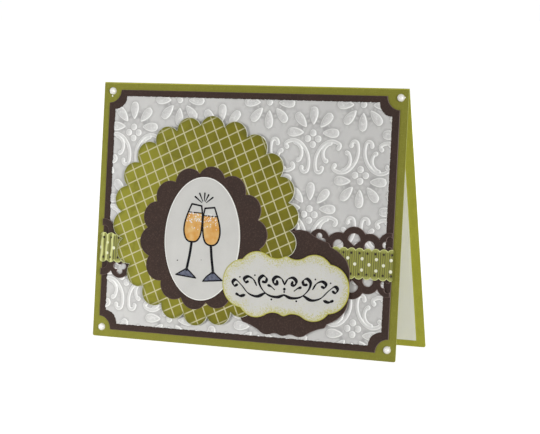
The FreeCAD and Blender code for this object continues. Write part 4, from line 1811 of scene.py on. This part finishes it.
@dataclass
class Pearls:
    """Half pearls in the card's four corners, three of them with a little dried glue near their foot."""

    places: tuple[tuple[str, float, float], ...] = (
        ("pearl_top_left", -65.65, 50.225), ("pearl_top_right", 66.65, 50.225),
        ("pearl_bottom_left", -65.5, -49.975), ("pearl_bottom_right", 66.15, -49.375),
    )
    radius: float = 1.6
    height: float = 1.5
    glue: tuple[Triple, ...] = ((-65.9, 48.1, 0.36), (68.4, 50.4, 0.3), (67.2, -48.1, 0.22))
    around: int = 40
    rings: int = 14

    def dome(self, x: float, y: float, radius: float, height: float,
             ripple: float = 0.0) -> tuple[np.ndarray, list]:
        """A rounded bead with a flat back.

        Args:
            x: middle across.
            y: middle up.
            radius: of its widest ring.
            height: of its crown.
            ripple: how uneven its outline is, as a share.

        Returns:
            Its corners and faces.
        """
        vertices, faces = [], []
        for tilt in [ring / self.rings * math.pi / 2 for ring in range(self.rings)]:
            reach = radius * math.cos(tilt) ** 0.9
            for turn in [math.tau * k / self.around for k in range(self.around)]:
                swell = 1 + ripple * math.sin(3 * turn + x) + ripple * 0.6 * math.sin(5 * turn + y)
                vertices.append((x + reach * swell * math.cos(turn), y + reach * swell * math.sin(turn),
                                 height * math.sin(tilt)))
        last = len(vertices) - self.around
        for first in range(0, last, self.around):
            for k in range(self.around):
                a, b = first + k, first + (k + 1) % self.around
                faces.append((a, b, b + self.around, a + self.around))
        faces += [(last + k, last + (k + 1) % self.around, len(vertices)) for k in range(self.around)]
        faces.append(range(self.around - 1, -1, -1))
        return np.array(vertices + [(x, y, height)]), faces

    def build(self, plane: Matrix) -> None:
        """Sets the pearls and the specks of glue.

        Args:
            plane: carries the drawing plane into place.
        """
        for name, x, y in self.places:
            Piece("half_" + name, Slot.PEARL, (name,)).finish(
                *self.dome(x, y, self.radius, self.height), (PEARL,), plane)
        for number, (x, y, radius) in enumerate(self.glue, 1):
            Piece(f"glue_speck_{number}", Slot.PEARL).finish(
                *self.dome(x, y, radius, radius * 0.5, 0.12), (GLUE,), plane)


@dataclass
class Covering:
    """Which parts of the embossed panel other layers hide, so that their pattern may stay unpressed."""

    stack: FocalStack
    strip: PunchedStrip
    label: SentimentLabel
    label_share: float = 0.9
    strip_half: float = 4.0
    margin: float = 2.2
    foam_reach: float = 3.0
    foam_places: tuple[Pair, ...] = ((-14.9, 21.6), (19.0, 19.1), (5.3, 5.0), (-1.5, -32.4), (6.8, -32.4))

    def hides(self, path: np.ndarray) -> bool:
        """Whether a shape's path lies wholly under one layer and away from the foam squares.

        Args:
            path: the shape's points.

        Returns:
            True if nothing of it would show or carry foam.
        """
        from_circle = path - self.stack.circle_place
        for foam in self.foam_places:
            if np.any(np.all(np.abs(from_circle - foam) < self.foam_reach + self.margin, axis=1)):
                return False
        halves = self.label_share * np.array((self.label.dark_quarter[-1][1][0], self.label.dark_start[1]))
        under_circle = np.hypot(*from_circle.T) < self.stack.circle_radii[1] - self.margin
        under_label = np.hypot(*((path - self.label.dark_place) / (halves - self.margin)).T) < 1
        under_strip = np.abs(path[:, 1] - self.strip.y) < self.strip_half
        return bool(under_circle.all() or under_label.all() or under_strip.all())


# Studio


def place_object(name: str, data: bpy.types.ID, matrix: Matrix) -> bpy.types.Object:
    """Puts a camera, light or mesh into the scene.

    Args:
        name: the object's name.
        data: what it holds.
        matrix: where it stands.

    Returns:
        The object.
    """
    placed = bpy.data.objects.new(name, data)
    bpy.context.scene.collection.objects.link(placed)
    placed.matrix_world = matrix
    return placed


@dataclass(frozen=True)
class Viewpoint:
    """Where the photograph was taken from, about a target near the card's middle."""

    azimuth: float = 26.8466
    elevation: float = 8.0094
    roll: float = -0.8366
    distance: float = 796.784
    target: Triple = (7.940, 0.0, 52.814)
    lens: float = 129.207

    def place(self) -> None:
        """Makes the camera."""
        turn, rise, tip = [math.radians(angle) for angle in (self.azimuth, self.elevation, self.roll)]
        back = Vector((math.sin(turn) * math.cos(rise), -math.cos(turn) * math.cos(rise), math.sin(rise)))
        right = Vector((math.cos(turn), math.sin(turn), 0))
        up = back.cross(right)
        level = right * math.cos(tip) + up * math.sin(tip)
        upright = up * math.cos(tip) - right * math.sin(tip)
        turned = turned_to(level, upright, back)
        data = bpy.data.cameras.new("camera")
        data.lens = self.lens
        data.sensor_width = 36
        data.clip_end = 20
        place = (Vector(self.target) + back * self.distance) * MM
        bpy.context.scene.camera = place_object("camera", data, Matrix.Translation(place) @ turned)


@dataclass(frozen=True)
class SoftLight:
    """A square softbox that faces the card, or a spot with a soft pool where it has a cone."""

    name: str
    place: Triple
    size: float
    watts: float
    aim: Triple = (0.0, 0.0, 0.05)
    cone: float = 0.0

    def hang(self) -> None:
        """Hangs the light and points it."""
        data = bpy.data.lights.new(self.name, "SPOT" if self.cone else "AREA")
        if self.cone:
            data.spot_size = math.radians(self.cone)
            data.spot_blend = 1.0
            data.shadow_soft_size = self.size / 2
        else:
            data.size = self.size
        data.energy = self.watts
        lamp = place_object(self.name, data, Matrix.Translation(self.place))
        direction = Vector(self.aim) - Vector(self.place)
        lamp.rotation_euler = direction.to_track_quat("-Z", "Y").to_euler()


@dataclass
class Studio:
    """White sweep, even sky and softboxes, strongest from the card's left."""

    floor_size: float = 6.0
    floor_colour: str = "f4f4f4"
    sky: float = 0.28
    white: float = 1.01
    floor_glow: Pair = (0.5, 1.78)
    lights: tuple[SoftLight, ...] = (
        SoftLight("key_spot", (-0.45, -1.1, 0.12), 0.3, 35.0, (-0.13, 0.0, -0.03), 25.0),
        SoftLight("right_softbox", (1.9, -1.6, 0.4), 0.8, 32.0),
        SoftLight("back_softbox", (0.2, 1.1, 0.4), 0.5, 6.5),
    )

    def background_share(self, tree: Tree) -> Socket:
        """Where the camera, a mirror or glass looks straight at the background.

        Args:
            tree: the node tree.

        Returns:
            The share.
        """
        path = add_node(tree, "LightPath", ()).node.outputs
        seen = add_node(tree, "Math", (path["Is Camera Ray"], path["Is Glossy Ray"]), operation="MAXIMUM")
        return add_node(tree, "Math", (seen, path["Is Transmission Ray"]), operation="MAXIMUM")

    def build_floor(self) -> None:
        """Lays the floor, mostly white to the camera."""
        half = self.floor_size / 2
        mesh = bpy.data.meshes.new("studio_floor")
        mesh.from_pydata([(-half, -half, 0), (half, -half, 0), (half, half, 0), (-half, half, 0)], [],
                         [(0, 1, 2, 3)])
        material, shader = start_material("studio_white", {"Base Color": linear(self.floor_colour),
                                                           "Roughness": 0.9, "Specular IOR Level": 0.1})
        tree = material.node_tree
        part, strength = self.floor_glow
        share = add_node(tree, "Math", (self.background_share(tree), part), operation="MULTIPLY")
        glow = add_node(tree, "Emission", ("ffffff", strength))
        both = add_node(tree, "MixShader", (share, shader.outputs[0], glow))
        tree.links.new(both, tree.nodes["Material Output"].inputs["Surface"])
        mesh.materials.append(material)
        floor = place_object("studio_floor", mesh, Matrix())

    def build_sky(self) -> None:
        """Makes the world: an even sky on the card, pure white behind it."""
        world = bpy.data.worlds.new("studio_sky")
        world.use_nodes = True
        bpy.context.scene.world = world
        tree = world.node_tree
        tree.nodes.clear()
        soft, white = [add_node(tree, "Background", ("ffffff", strength))
                       for strength in (self.sky, self.white)]
        both = add_node(tree, "MixShader", (self.background_share(tree), soft, white))
        add_node(tree, "OutputWorld", (both,))

    def build(self) -> None:
        """Sets up the floor, the sky, the lights and the view settings."""
        bpy.context.scene.view_settings.view_transform = "Standard"
        self.build_floor()
        self.build_sky()
        for light in self.lights:
            light.hang()


def main() -> None:
    """Builds and dresses every piece in order."""
    logging.basicConfig(level=logging.INFO, format="%(name)s %(message)s")
    Viewpoint().place()
    Studio().build()
    plane = FrontPlane(frame["record"]).matrix
    Carried().dress()
    stack, strip, label = FocalStack(), PunchedStrip(), SentimentLabel()
    EmbossedFront().build(plane, Covering(stack, strip, label).hides)
    for assembly in (strip, DottedRibbon(), stack, ToastPrint(), label, Pearls()):
        assembly.build(plane)


if __name__ == "__main__":
    main()
